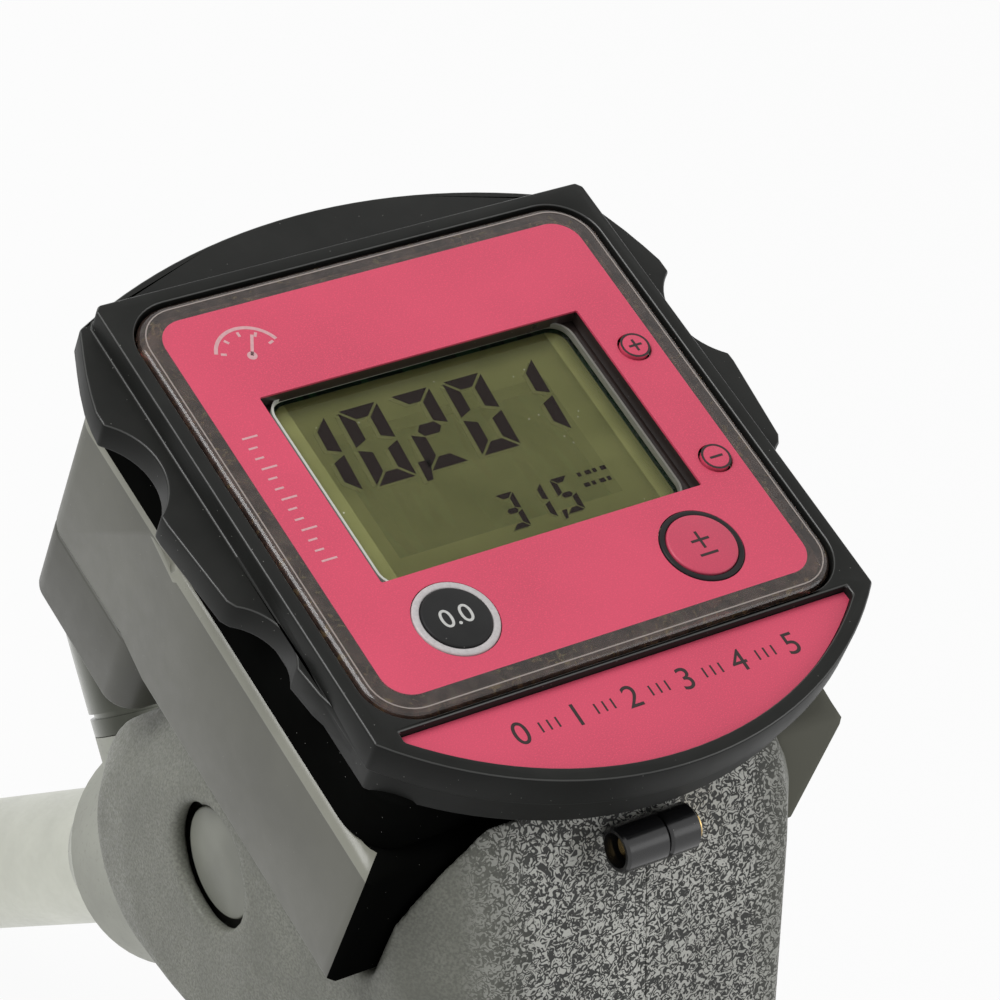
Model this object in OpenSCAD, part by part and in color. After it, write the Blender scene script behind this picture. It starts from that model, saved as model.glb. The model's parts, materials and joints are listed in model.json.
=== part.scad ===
// Metered fuel nozzle with a digital head: the head faces up (+Z), the handle runs along Y,
// and the spout leaves forwards (+Y) and down. The origin is the mouth of the hose inlet.

/* [Display head] */
// Width of the upper label
label_w = 75; // [66:1:80]
// Height of the upper label
label_h = 73.4; // [66:0.2:78]
// Corner radius of the upper label
label_corner = 4.5; // [2:0.5:6]
// Thickness of both labels
label_t = 0.4; // [0.2:0.1:0.6]
// Clear case showing round the label
case_margin = 3.6; // [3:0.1:4.5]
// Depth of the clear case
case_d = 8.6; // [7.5:0.1:8.8]
// Wall of the clear case
case_wall = 1.8; // [1.2:0.1:2.2]
// Raised frame round the clear case
frame_rim = 2.5; // [2:0.1:3]
// Height of the raised frame
frame_h = 6; // [5.5:0.1:7]
// Radius of the frame's near edge
frame_arc_r = 61; // [58:0.5:64]
// Half width of the scalloped plate
plate_half = 51; // [49:0.5:54]
// Depth of the plate's top below the frame
plate_top = 4; // [3:0.1:4.5]
// Thickness of the scalloped plate
plate_t = 5; // [4:0.1:5.5]
// Distance from the display centre to the plate's far edge
plate_far = 53.6; // [52:0.2:56]
// Radius of the plate's far edge
plate_far_r = 101; // [90:1:120]
// Radius of the plate's far corners
plate_corner = 14; // [10:0.5:16]
// Radius of the large finger scallop
scallop_r = 11.2; // [9:0.2:13]
// Depth of the large finger scallop
scallop_depth = 4.5; // [3:0.1:5]
// Radius of the display window's corners
window_corner = 0.5; // [0.3:0.1:2]
// Width of the display window
window_w = 57.4; // [56:0.2:58]
// Height of the display window
window_h = 37; // [34:0.2:38]
// Width of the readout's glass
glass_w = 54; // [50:0.5:56]
// Height of the readout's glass
glass_h = 37.8; // [34:0.2:38.6]
// Corner radius of the readout's glass
glass_corner = 3.5; // [1:0.5:5]

/* [Buttons] */
// Radius of the reset button
reset_r = 5.4; // [4.5:0.1:6]
// Radius of the bright ring round the reset button
reset_ring_r = 6.65; // [6.2:0.05:7]
// Radius of the calibration button
cal_r = 5.6; // [4.5:0.1:6]
// Radius of the dark ring round the calibration button
cal_ring_r = 6.6; // [6.2:0.05:7]
// Radius of the plus and minus buttons
sign_r = 2.35; // [2:0.05:2.6]
// Dark gap round the plus and minus buttons
sign_ring = 0.4; // [0.2:0.05:0.5]
// Travel of a button
button_travel = 0.6; // [0.4:0.1:0.9]

/* [Meter] */
// Width of the meter housing
housing_w = 86; // [82:0.5:90]
// Depth of the housing's top below the frame
housing_top = 22.5; // [22:0.5:25]
// Height of the meter housing
housing_h = 27; // [26.5:0.5:30]
// Distance from the display centre to the housing's near wall
housing_near = 50.3; // [49:0.1:52]
// Distance from the display centre to the housing's far wall
housing_far = 43.5; // [42:0.1:46]
// Height of the outlet block under the housing
block_h = 15; // [13:0.5:16]
// Near face of the outlet block from the display centre
block_near = 13; // [11:0.5:14]
// Long half axis of an oval gear
oval_long = 19; // [18.8:0.05:19.2]
// Short half axis of an oval gear
oval_short = 13; // [12.9:0.05:13.4]
// Height of an oval gear
gear_h = 13.7; // [12:0.1:13.9]
// Radius of a gear shaft
shaft_r = 3; // [2.5:0.1:3.5]

/* [Nozzle] */
// Angle of the spout below the handle's line
spout_angle = 55.5; // [52:0.5:57]
// Length of the spout axis from the body centre to the tip
spout_reach = 240; // [210:5:280]
// Outer radius of the spout tube
spout_r = 12.5; // [11.5:0.1:12.6]
// Wall of the spout tube
spout_wall = 1.6; // [1.2:0.1:2]
// Outer radius of the handle's tube
handle_r = 16.5; // [15.5:0.1:17]
// Outer radius of the grip
grip_r = 20; // [19.5:0.1:21]
// Length of the handle from the display centre to the inlet
handle_reach = 205; // [200:1:220]
// Radius of the inlet thread's wall, 3/4 inch pipe
inlet_r = 12.1; // [11.5:0.1:12.5]
// Length of the inlet thread
inlet_depth = 20; // [16:1:24]
// Half width of the cover
cover_half = 40; // [39.5:0.1:41]
// Wall of the cover
cover_wall = 3; // [2.5:0.1:3.5]
// Radius of the round windows in the cover
cover_window_r = 10.2; // [9:0.1:12]
// Radius of the polished shut-off cap
cap_r = 18; // [17:0.1:19]

/* [Lever] */
// Angle the lever drops at rest
lever_drop = 12; // [11:0.5:13]
// Length of the lever from its pivot
lever_len = 128; // [118:1:132]
// Width of the lever
lever_w = 20; // [18:0.5:21]
// Thickness of the lever
lever_t = 5; // [4.5:0.1:5.5]
// Radius of the pivot pin
pivot_r = 3; // [2.5:0.1:3.5]
// Width of the lever guard
guard_w = 22; // [20:0.5:26]
// Thickness of the lever guard
guard_t = 5; // [4:0.5:6]
// Radius of the valve stem
stem_r = 3; // [2.5:0.1:3.5]

/* [Hidden] */

$fn = 48;
// Facets of shapes that are hulled
hull_fn = 28;
// Overrun of every cut
cut = 1;
// Clearance between nested pieces
gap = 0.15;
// Radial clearance of a running fit
run = 0.05;

// Colours
black = [0.12, 0.12, 0.13];
dark_grey = [0.22, 0.22, 0.23];
crimson = [0.78, 0.2, 0.33];
olive = [0.38, 0.4, 0.3];
silver = [0.78, 0.78, 0.8];
steel = [0.6, 0.61, 0.63];
pale_alloy = [0.8, 0.8, 0.77];
brass = [0.78, 0.6, 0.28];
clear = [0.75, 0.7, 0.65, 0.5];
green = [0.1, 0.35, 0.2];
rubber = [0.08, 0.08, 0.08];

// Display head, heights count down from the frame's top
frame_gap = 0.4;
case_w = label_w + 2 * case_margin;
case_h = label_h + 2 * case_margin;
case_corner = label_corner + case_margin - frame_gap;
pocket_w = case_w + 2 * frame_gap;
pocket_h = case_h + 2 * frame_gap;
frame_half = pocket_w / 2 + frame_rim;
frame_far = pocket_h / 2 + frame_rim;
frame_corner = frame_rim / 2;
board_t = 1.6;
board_z = -case_d - board_t;
ledge_z = board_z - gap;
ledge_w = 3;
base_depth = 12;
base_inset = 1.5;
lower_label_drop = 1.5;
lower_label_bar = 0.9;
lower_label_side = 2;
lower_label_cut = 4.5;
lower_label_top = -(pocket_h / 2 + lower_label_bar);
lower_label_r = frame_arc_r - frame_rim;
lower_label_half = frame_half - lower_label_side - frame_rim;
// Half outline of the plate's near sides, as shares of its half width
plate_side_shares = [[1, 0.1], [0.97, -0.2], [0.92, -0.28], [0.88, -0.58], [0.815, -0.78]];
scallop_y_share = 0.31;
small_scallop_r = 9;
small_scallop_depth_share = 0.135;
small_scallop_y_share = -0.38;

// Window and controls on the label, from the display centre
window_x = 0;
window_y = 1;
glass_rise = 0.2;
glass_t = 0.8;
panel_t = 2;
panel_margin = 0.8;
reset_at = [-21.35, -26.8];
cal_at = [21.9, -27.5];
plus_at = [33.4, 9.85];
minus_at = [33.5, -13.6];
button_proud = 0.5;
ring_proud = 0.25;
ring_t = 0.8;
button_flange = 1;
button_flange_t = 1.2;
button_h = case_d - button_travel - gap;
case_top_t = 2.6;

// Turret and batteries
turret_half = 46;
turret_near = 47;
turret_far = 46;
turret_corner = 8;
turret_round = 2.5;
turret_wall = 5;
turret_floor = 1;
turret_z = -housing_top;
turret_top = -(plate_top + plate_t);
cell_r = 5.25;
cell_len = 44.5;
cell_nub_r = 1.9;
cell_nub = 0.9;
cell_pitch = 11;
cell_y = 6;
head_screw_r = 1.4;
head_screw_head_r = 2.6;
head_screw_head = 1.8;
head_screw_len = 7;
head_screw_x = 37;
head_screw_y = 38;

// Meter housing
housing_bottom = -housing_top - housing_h;
housing_corner = 5;
housing_round = 2;
housing_step = 1;
facet_near = 9;
facet_far = 18;
block_corner = 5;
block_bottom = housing_bottom - block_h;
cover_plate_t = 2.5;
chamber_y = -4;
oval_mean = (oval_long + oval_short) / 2;
tooth_count = 22;
tooth_h = 0.9;
tooth_gap = 0.15;
tooth_steps = 8;
tooth_sharpness_share = 1.5;
tooth_thinning_share = 0.5;
tooth_points = tooth_count * tooth_steps;
chamber_r = oval_long - tooth_gap + tooth_h * tooth_wave(0) + gap;
chamber_floor = housing_bottom + cover_plate_t;
chamber_h = gear_h + 4 * gap;
gear_z = chamber_floor + 2 * gap;
shaft_seat = 1.5;
inlet_port_y = -36;
outlet_port_y = 22;
port_r = 6.5;
port_slot_w = 15;
port_slot_reach = 19;
cover_plate_w = 81;
cover_plate_near = 46;
cover_plate_far = 37;
cover_plate_corner = 6;
seal_w = 1.8;
seal_t = 1.4;
seal_inset = 1;
seal_w_out = cover_plate_w - 2 * seal_inset;
magnet_r = 2;
magnet_h = 3;
magnet_out = 9;

// Body centre: the spout's axis passes through it
body_y = -13;
body_z = -80.3;
handle_z = -84;
deck_t = 6;
deck_w = 64;
deck_near = 47;
far_deck_w = 44;
far_deck_far = 40;
neck_r = 21;
neck_len = 82;
neck_bore = 11;
neck_start = -8;
chest_r = 22;
chest_half = 29;
valve_y = -50;
valve_body_r = 19;
valve_drop = 24;
valve_bottom = handle_z - valve_drop;
valve_top = -57;
valve_bore_r = 15.5;
valve_seat_z = -73.5;
valve_seat_t = 2.5;
valve_seat_r = 9.5;
valve_low_r = 13;
valve_low_z = -98;
handle_bore = 7.3;
inlet_boss_r = 22;
inlet_boss_len = 28;
riser_y = outlet_port_y;
riser_r = 9;
riser_len = 50;
guard_boss_r = 8;
guard_boss_at = 52;
guard_boss_out = 25;
guard_lug_w = 16;
guard_lug_len = 16;
guard_lug_drop = 25;
guard_lug_z = handle_z - guard_lug_drop;
plug_y = -15;
plug_z = -68.5;
plug_gap = 2;
plug_r = cover_window_r - plug_gap;
plug_sunk = 2.4;
plug_half = cover_half - plug_sunk;
plug_t = 6;
plug_boss_r = 14;
plug_thread_r = 6;
plug_thread = 5;

// Cover
cover_fn = 32;
cover_clear = 0.7;
cover_edge = 7;
front_r = 26;
shoulder_y = -34;
shoulder_z = -43;
shoulder_r = 31.2;
shoulder_half = 26;
shoulder_out_r = 18;
lobe_y = -1;
lobe_z = -88;
lobe_r = 23.5;
lobe_drop = 1.5;
heel_y = -58;
heel_z = -78;
heel_r = 26;
heel_half = 24;
heel_out_r = 15;
cuff_y = -104;
cuff_len = 4;
seam = 0.1;
cover_top_gap = 1.2;
boss_y = -60;
boss_z = -20;
boss_r = 3.6;
boss_left = 7.7;
boss_right = 5.5;
boss_bore = 1.7;
boss_counter_r = 2.3;
boss_counter = 3.5;
insert_proud = 0.6;
insert_r = 2.7;
neck_gap = 0.8;

// Lever, guard and latch
pivot_y = -20;
pivot_drop = 11;
pivot_z = valve_bottom - pivot_drop;
pivot_boss_r = 6.5;
ear_t = 4;
ear_r = 7.5;
ear_rise = 28;
stem_tip_gap = 0.3;
lever_toe = 7;
lever_bend = 60;
slot_half = 16;
slot_len = 24;
guard_drop = 46;
guard_bottom = pivot_z - guard_drop;
guard_front_start = 44;
guard_front_end = 68;
guard_nose = -6;
guard_rear_in = 1;
guard_heel_run = 24;
guard_rear = guard_rear_in - handle_reach;
guard_heel = guard_rear + guard_heel_run;
guard_corner = 14;
guard_end_corner = 6;
guard_rear_screw_in = 14.5;
guard_rear_screw_y = guard_rear_screw_in - handle_reach;
guard_screw_r = 2;
guard_screw_head_r = 3.8;
guard_screw_head = 2.4;
guard_screw_len = 12;
latch_y = -128;
latch_up = 4.2;
latch_len = 26;
latch_w = 8;
latch_t = 3;
latch_hook = 3;
latch_eye_r = 3.4;
latch_pin_r = 1.6;
latch_ear_t = 3;
latch_ear_r = 4;

// Valve parts
packing_r = 6;
packing_in = 6;
packing_out = 3.5;
packing_hex_r = 8;
poppet_r = 12.5;
poppet_t = 3;
poppet_seal_t = 1.5;
guide_r = 4;
guide_h = 2.5;
spring_r = 8;
spring_wire = 1.6;

// Grip and inlet ring
ring_w = 3;
ring_drop = 0.8;
grip_rib = 0.8;
grip_rib_w = 3;
grip_rib_pitch = 7;
grip_rib_start = 16;
grip_bare_end = 14;

// Shut-off cap along the spout axis and up from it
cap_at = 60.4;
cap_base = 24;
cap_top = 50;
cap_wall = 2.5;
cap_chamfer = 2;
cap_groove = 0.8;
cap_lip = 1;
diaphragm_t = 1;
cap_spring_r = 7;

// Spout
nut_r = 16.5;
nut_len = 10;
nut_grips = 12;
nut_grip_r = 1.6;
collar_r = 13.2;
collar_end = 101;
socket_len = 14;
vac_r = 2.4;
vac_wall = 0.6;
vac_start = 60;
vac_hole_r = 1.8;
tip_len = 40;
tip_step = 0.3;

inlet_at = [0, -handle_reach, handle_z];

// Height of the stem's tip, just above the lever at rest
valve_stem_tip = pivot_z - (pivot_y - valve_y) * tan(lever_drop)
  + lever_t / 2 / cos(lever_drop) + stem_tip_gap;

// Path of the lever's middle line from its pivot to its toe, before the drop
lever_shares = [[0, 0], [-0.42, 0], [-0.62, -0.03], [-0.9, -0.015], [-1, -0.055]];
lever_line = rounded_path([for (p = lever_shares) p * lever_len], [1, 1, 0.5] * lever_bend);

// Place in Y and Z at a distance along the spout's axis and out from its under side
function under_spout(along, out) =
  [body_y, body_z]
  + along * [cos(spout_angle), -sin(spout_angle)]
  - out * [sin(spout_angle), cos(spout_angle)];

// Path of the guard's middle line from the neck to the lug under the inlet
guard_out = guard_boss_out + gap + guard_t / 2;
guard_lug_mid = guard_lug_z - gap - guard_t / 2;
guard_line = rounded_path([
  under_spout(guard_front_start, guard_out),
  under_spout(guard_front_end, guard_out),
  [guard_nose, guard_bottom],
  [guard_heel, guard_bottom],
  [guard_rear, guard_lug_mid],
  [guard_rear_screw_y + guard_lug_len / 2, guard_lug_mid]
], [guard_end_corner, guard_corner, guard_corner, guard_end_corner]);
latch_z = guard_bottom + guard_t / 2 + latch_up;

function unit(v) = v / norm(v);
function at_angle(c, r, a) = c + r * [cos(a), sin(a)];
function turn(a) = a > 180 ? a - 360 : a < -180 ? a + 360 : a;

// Points of one rounded corner at q, between p and s
function corner_points(p, q, s, r, n = 6) =
  let (
    d1 = unit(p - q),
    d2 = unit(s - q),
    half = acos(d1 * d2) / 2,
    c = q + unit(d1 + d2) * r / sin(half),
    m1 = q + d1 * r / tan(half) - c,
    m2 = q + d2 * r / tan(half) - c,
    a1 = atan2(m1[1], m1[0]),
    sweep = turn(atan2(m2[1], m2[0]) - a1)
  )
  [for (i = [0 : n]) at_angle(c, r, a1 + sweep * i / n)];

// A path whose inner corners are rounded
function rounded_path(p, r) = concat(
  [p[0]],
  [for (i = [1 : len(p) - 2]) each corner_points(p[i - 1], p[i], p[i + 1], r[i - 1])],
  [p[len(p) - 1]]
);

// Outline of a band of width w along a path
function band(p, w) =
  let (
    n = len(p),
    side = [for (i = [0 : n - 1])
      let (d = unit(p[min(i + 1, n - 1)] - p[max(i - 1, 0)])) [-d[1], d[0]] * w / 2]
  )
  concat([for (i = [0 : n - 1]) p[i] + side[i]], [for (i = [n - 1 : -1 : 0]) p[i] - side[i]]);

module rounded_square(w, h, r) {
  square([w - 2 * r, h], center = true);
  square([w, h - 2 * r], center = true);
  for (x = [-1, 1], y = [-1, 1])
    translate([x * (w / 2 - r), y * (h / 2 - r)]) circle(r);
}

// A rounded plate from y0 to y1, standing on z
module slab(w, y0, y1, r, z, t) {
  translate([0, (y0 + y1) / 2, z]) linear_extrude(t) rounded_square(w, y1 - y0, r);
}

// A cylinder along X, centred
module cross_cylinder(r, half) {
  rotate([0, 90, 0]) cylinder(r = r, h = 2 * half, center = true);
}

// A side profile in Y and Z, extruded along X
module side_extrude(w) {
  rotate([90, 0, 90]) translate([0, 0, -w / 2]) linear_extrude(w) children();
}

// Local Z runs down the spout from the body centre, local -Y is the side facing up
module along_spout() {
  translate([0, body_y, body_z]) rotate([-(90 + spout_angle), 0, 0]) children();
}

// Local Z stands on the spout axis at the shut-off cap
module along_cap() {
  along_spout() translate([0, 0, cap_at]) rotate([90, 0, 0]) children();
}

module tube(r, wall, h) {
  difference() {
    cylinder(r = r, h = h);
    translate([0, 0, -cut]) cylinder(r = r - wall, h = h + 2 * cut);
  }
}

// Display head

module frame_outline(inset = 0) {
  half = frame_half - inset;
  intersection() {
    circle(frame_arc_r - inset, $fn = 96);
    union() {
      translate([-half, -frame_arc_r])
        square([2 * half, frame_arc_r + frame_far - inset - frame_corner]);
      translate([0, frame_far - inset - frame_corner])
        rounded_square(2 * half, 2 * frame_corner, frame_corner - gap);
    }
  }
}

module plate_outline() {
  side = [for (p = plate_side_shares) p * plate_half];
  difference() {
    intersection() {
      translate([0, plate_far - plate_far_r]) circle(plate_far_r, $fn = 96);
      translate([0, 0]) rounded_square(2 * plate_half, 2 * plate_far, plate_corner);
      polygon(concat(
        [[-plate_half, plate_far], [plate_half, plate_far]],
        side,
        [for (i = [len(side) - 1 : -1 : 0]) [-side[i][0], side[i][1]]]
      ));
    }
    for (s = [-1, 1]) {
      translate([s * (plate_half - scallop_depth + scallop_r), scallop_y_share * plate_half])
        circle(scallop_r);
      translate([
        s * (plate_half * (1 - small_scallop_depth_share) + small_scallop_r),
        small_scallop_y_share * plate_half
      ]) circle(small_scallop_r);
    }
  }
}

module lower_label_outline(grow = 0) {
  intersection() {
    circle(lower_label_r + grow, $fn = 96);
    polygon([
      [-lower_label_half - grow, lower_label_top + grow],
      [lower_label_half + grow, lower_label_top + grow],
      [lower_label_half + grow, lower_label_top - lower_label_cut],
      [0, -2 * frame_arc_r],
      [-lower_label_half - grow, lower_label_top - lower_label_cut]
    ]);
  }
}

module display_bezel() {
  color(black) difference() {
    union() {
      translate([0, 0, -frame_h]) linear_extrude(frame_h) frame_outline();
      translate([0, 0, turret_top]) linear_extrude(plate_t) plate_outline();
      translate([0, 0, -base_depth]) linear_extrude(base_depth - frame_h) frame_outline(base_inset);
    }
    slab(pocket_w, -pocket_h / 2, pocket_h / 2, case_corner + frame_gap, ledge_z, base_depth + cut);
    slab(pocket_w - 2 * ledge_w, -pocket_h / 2 + ledge_w, pocket_h / 2 - ledge_w,
      case_corner, -base_depth - cut, base_depth + cut);
    translate([0, 0, -lower_label_drop - label_t]) linear_extrude(base_depth)
      lower_label_outline(gap);
  }
}

module turret() {
  color(black) difference() {
    hull() {
      slab(2 * turret_half, -turret_near, turret_far, turret_corner, turret_z,
        turret_top - turret_z - turret_round, $fn = hull_fn);
      slab(2 * (turret_half - turret_round), -turret_near + turret_round,
        turret_far - turret_round, turret_corner, turret_z, turret_top - turret_z, $fn = hull_fn);
    }
    translate([0, 0, -base_depth]) linear_extrude(base_depth) frame_outline(base_inset - gap);
    slab(2 * (turret_half - turret_wall), -turret_near + turret_wall, turret_far - turret_wall,
      turret_corner - turret_wall / 2, turret_z + turret_floor, base_depth);
    for (x = [-1, 1], y = [-1, 1])
      translate([x * head_screw_x, y * head_screw_y, turret_z - cut])
        cylinder(r = head_screw_r + gap, h = turret_floor + 2 * cut);
  }
}

module window_cut(grow, z, t) {
  translate([window_x, window_y, z]) linear_extrude(t)
    rounded_square(window_w + 2 * grow, window_h + 2 * grow, window_corner + grow);
}

module button_bore(at, r, z, h) {
  translate([at[0], at[1], z]) cylinder(r = r, h = h);
}

module clear_case() {
  color(clear) difference() {
    slab(case_w, -case_h / 2, case_h / 2, case_corner, -case_d, case_d);
    slab(case_w - 2 * case_wall, -case_h / 2 + case_wall, case_h / 2 - case_wall,
      case_corner - case_wall, -case_d - cut, case_d - case_top_t + cut);
    slab(label_w + 2 * gap, -label_h / 2 - gap, label_h / 2 + gap, label_corner + gap, -label_t, cut);
    window_cut(0, -case_d - cut, case_d + 2 * cut);
    button_bore(reset_at, reset_r + run, -case_d, case_d + cut);
    button_bore(reset_at, reset_ring_r + gap, -ring_t - label_t, case_d);
    button_bore(cal_at, cal_r + run, -case_d, case_d + cut);
    button_bore(cal_at, cal_ring_r + gap, -ring_t - label_t, case_d);
    button_bore(plus_at, sign_r + run, -case_d, case_d + cut);
    button_bore(minus_at, sign_r + run, -case_d, case_d + cut);
  }
}

module upper_label() {
  color(crimson) difference() {
    slab(label_w, -label_h / 2, label_h / 2, label_corner, -label_t, label_t);
    window_cut(-gap, -label_t - cut, label_t + 2 * cut);
    button_bore(reset_at, reset_ring_r + gap, -label_t - cut, label_t + 2 * cut);
    button_bore(cal_at, cal_ring_r + gap, -label_t - cut, label_t + 2 * cut);
    button_bore(plus_at, sign_r + sign_ring, -label_t - cut, label_t + 2 * cut);
    button_bore(minus_at, sign_r + sign_ring, -label_t - cut, label_t + 2 * cut);
  }
}

module lower_label() {
  color(crimson) translate([0, 0, -lower_label_drop - label_t])
    linear_extrude(label_t) lower_label_outline();
}

// The readout's outline, drawn in by inset
module readout_plate(inset, z, t) {
  translate([window_x, window_y + glass_rise, z]) linear_extrude(t)
    rounded_square(glass_w - 2 * inset, glass_h - 2 * inset, glass_corner - inset);
}

module display_glass() {
  color(clear) readout_plate(0, -case_top_t - gap - glass_t, glass_t);
}

module display_panel() {
  top = -case_top_t - gap - glass_t;
  color(olive) {
    readout_plate(panel_margin, top - panel_t, panel_t);
    translate([window_x, window_y, -case_d]) linear_extrude(top - panel_t + case_d)
      square([glass_w - 4 * glass_corner, glass_h - 4 * glass_corner], center = true);
  }
}

module circuit_board() {
  color(green)
    slab(case_w - 2 * gap, -case_h / 2 + gap, case_h / 2 - gap, case_corner, board_z, board_t);
}

module battery_cells() {
  color(steel) for (s = [-1, 1])
    translate([-cell_len / 2, cell_y + s * cell_pitch / 2, turret_z + turret_floor + cell_r + gap])
      rotate([0, 90, 0]) {
        cylinder(r = cell_r, h = cell_len - cell_nub);
        cylinder(r = cell_nub_r, h = cell_len);
      }
}

module button_ring(at, r_in, r_out) {
  color(silver) translate([at[0], at[1], -ring_t - label_t]) difference() {
    cylinder(r = r_out, h = ring_t + label_t + ring_proud);
    translate([0, 0, -cut]) cylinder(r = r_in + run, h = ring_t + 3 * cut);
  }
}

// A button with a flange below the clear case's top
module press_button(at, r, tint) {
  color(tint) translate([at[0], at[1], -button_h]) {
    cylinder(r = r, h = button_h + button_proud);
    cylinder(r = r + button_flange, h = button_flange_t);
  }
}

module reset_ring() { button_ring(reset_at, reset_r, reset_ring_r); }
module cal_ring() { button_ring(cal_at, cal_r, cal_ring_r); }
module reset_button() { press_button(reset_at, reset_r, black); }
module cal_button() { press_button(cal_at, cal_r, crimson); }
module plus_button() { press_button(plus_at, sign_r, crimson); }
module minus_button() { press_button(minus_at, sign_r, crimson); }

module head_screws() {
  color(steel) for (x = [-1, 1], y = [-1, 1])
    translate([x * head_screw_x, y * head_screw_y, turret_z + turret_floor]) {
      cylinder(r = head_screw_head_r, h = head_screw_head);
      translate([0, 0, -head_screw_len]) cylinder(r = head_screw_r, h = head_screw_len);
    }
}

// Meter

// One part of the housing's box with its top edge rounded
module housing_box(half, y0, y1) {
  round_z = -housing_top - housing_round;
  hull() {
    slab(2 * half, y0, y1, housing_corner, housing_bottom, round_z - housing_bottom, $fn = hull_fn);
    slab(2 * (half - housing_round / 3), y0 + housing_round / 3, y1 - housing_round / 3,
      housing_corner, housing_bottom, housing_h - housing_round / 3, $fn = hull_fn);
    slab(2 * (half - housing_round), y0 + housing_round, y1 - housing_round,
      housing_corner, housing_bottom, housing_h, $fn = hull_fn);
  }
}

module chamber_outline() {
  for (s = [-1, 1]) translate([s * oval_mean, chamber_y]) circle(chamber_r);
}

module meter_housing() {
  far_half = housing_w / 2 - housing_step;
  color(dark_grey) difference() {
    union() {
      housing_box(housing_w / 2, -housing_near, facet_near + housing_corner);
      housing_box(far_half, -housing_near / 2, housing_far);
      translate([0, 0, housing_bottom]) linear_extrude(housing_h - housing_round) polygon([
        [-housing_w / 2, facet_near], [housing_w / 2, facet_near],
        [far_half, facet_far], [-far_half, facet_far]
      ]);
    }
    slab(cover_plate_w + 2 * gap, -cover_plate_near - gap, cover_plate_far + gap,
      cover_plate_corner, housing_bottom - cut, cover_plate_t + cut);
    translate([0, 0, chamber_floor - cut]) linear_extrude(chamber_h + cut) chamber_outline();
    port_slots(chamber_floor - cut, chamber_h + cut);
    for (s = [-1, 1]) translate([s * oval_mean, chamber_y, chamber_floor])
      cylinder(r = shaft_r + run, h = chamber_h + shaft_seat);
    translate([0, 0, chamber_floor - cut]) linear_extrude(seal_t + cut) seal_outline(gap);
    for (x = [-1, 1], y = [-1, 1])
      translate([x * head_screw_x, y * head_screw_y, turret_z - head_screw_len])
        cylinder(r = head_screw_r + run, h = head_screw_len + cut);
  }
}

// Flow slots from the ports into the gear chamber
module port_slots(z, h) {
  slab(port_slot_w, inlet_port_y - port_r, inlet_port_y + port_slot_reach, port_r, z, h);
  slab(port_slot_w, outlet_port_y - port_slot_reach, outlet_port_y + port_r, port_r, z, h);
}

module seal_outline(grow = 0) {
  translate([0, (cover_plate_far - cover_plate_near) / 2]) difference() {
    rounded_square(seal_w_out + 2 * grow, cover_plate_far + cover_plate_near - seal_w + 2 * grow,
      cover_plate_corner);
    rounded_square(seal_w_out - 2 * seal_w - 2 * grow,
      cover_plate_far + cover_plate_near - 3 * seal_w - 2 * grow, cover_plate_corner - seal_w / 2);
  }
}

module chamber_seal() {
  color(rubber) translate([0, 0, chamber_floor]) linear_extrude(seal_t) seal_outline();
}

module chamber_cover() {
  color(pale_alloy) difference() {
    slab(cover_plate_w, -cover_plate_near, cover_plate_far, cover_plate_corner, housing_bottom,
      cover_plate_t);
    for (y = [inlet_port_y, outlet_port_y])
      translate([0, y, housing_bottom - cut]) cylinder(r = port_r, h = cover_plate_t + 2 * cut);
    for (s = [-1, 1])
      translate([s * oval_mean, chamber_y, chamber_floor - shaft_seat])
        cylinder(r = shaft_r + run, h = shaft_seat + cut);
  }
}

module outlet_block() {
  color(dark_grey) difference() {
    slab(housing_w - 2 * housing_step, block_near, housing_far, block_corner, block_bottom, block_h);
    translate([0, outlet_port_y, block_bottom - cut]) cylinder(r = port_r, h = block_h + 2 * cut);
  }
}

// Pitch radius of an oval gear at angle a, its long axis at zero. The two pitch lines touch
// between the shafts at every angle while the gears turn alike, so they mesh all the way round.
function oval_r(a) = oval_mean + (oval_long - oval_short) / 2 * cos(2 * a);
function tooth_wave(i) =
  max(-1, min(1, tooth_sharpness_share * (cos(360 * i / tooth_steps) - tooth_thinning_share)));

module oval_gear(turned) {
  rotate(turned) difference() {
    linear_extrude(gear_h) polygon([for (i = [1 : tooth_points])
      let (a = 360 * i / tooth_points)
      (oval_r(a) - tooth_gap + tooth_h * tooth_wave(i)) * [cos(a), sin(a)]
    ]);
    translate([0, 0, -cut]) cylinder(r = shaft_r + run, h = gear_h + 2 * cut);
    if (turned == 0) for (s = [-1, 1])
      translate([s * magnet_out, 0, gear_h - magnet_h]) cylinder(r = magnet_r + gap / 2, h = 2 * magnet_h);
  }
}

module gear_left() {
  color(pale_alloy) translate([-oval_mean, chamber_y, gear_z]) oval_gear(0);
}

module gear_right() {
  color(pale_alloy) translate([oval_mean, chamber_y, gear_z]) oval_gear(90);
}

module gear_magnets() {
  color(steel) for (s = [-1, 1])
    translate([-oval_mean + s * magnet_out, chamber_y, gear_z + gear_h - magnet_h])
      cylinder(r = magnet_r, h = magnet_h);
}

module gear_shafts() {
  color(steel) for (s = [-1, 1])
    translate([s * oval_mean, chamber_y, chamber_floor - shaft_seat])
      cylinder(r = shaft_r, h = chamber_h + 2 * shaft_seat - gap);
}

// Nozzle body

module handle_tube(r, y0, y1) {
  translate([0, y1, handle_z]) rotate([90, 0, 0]) cylinder(r = r, h = y1 - y0);
}

module cap_saddle() {
  along_cap() cylinder(r = cap_r, h = cap_base);
}

module guard_boss() {
  along_spout() translate([0, 0, guard_boss_at]) rotate([-90, 0, 0])
    cylinder(r = guard_boss_r, h = guard_boss_out);
}

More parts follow.
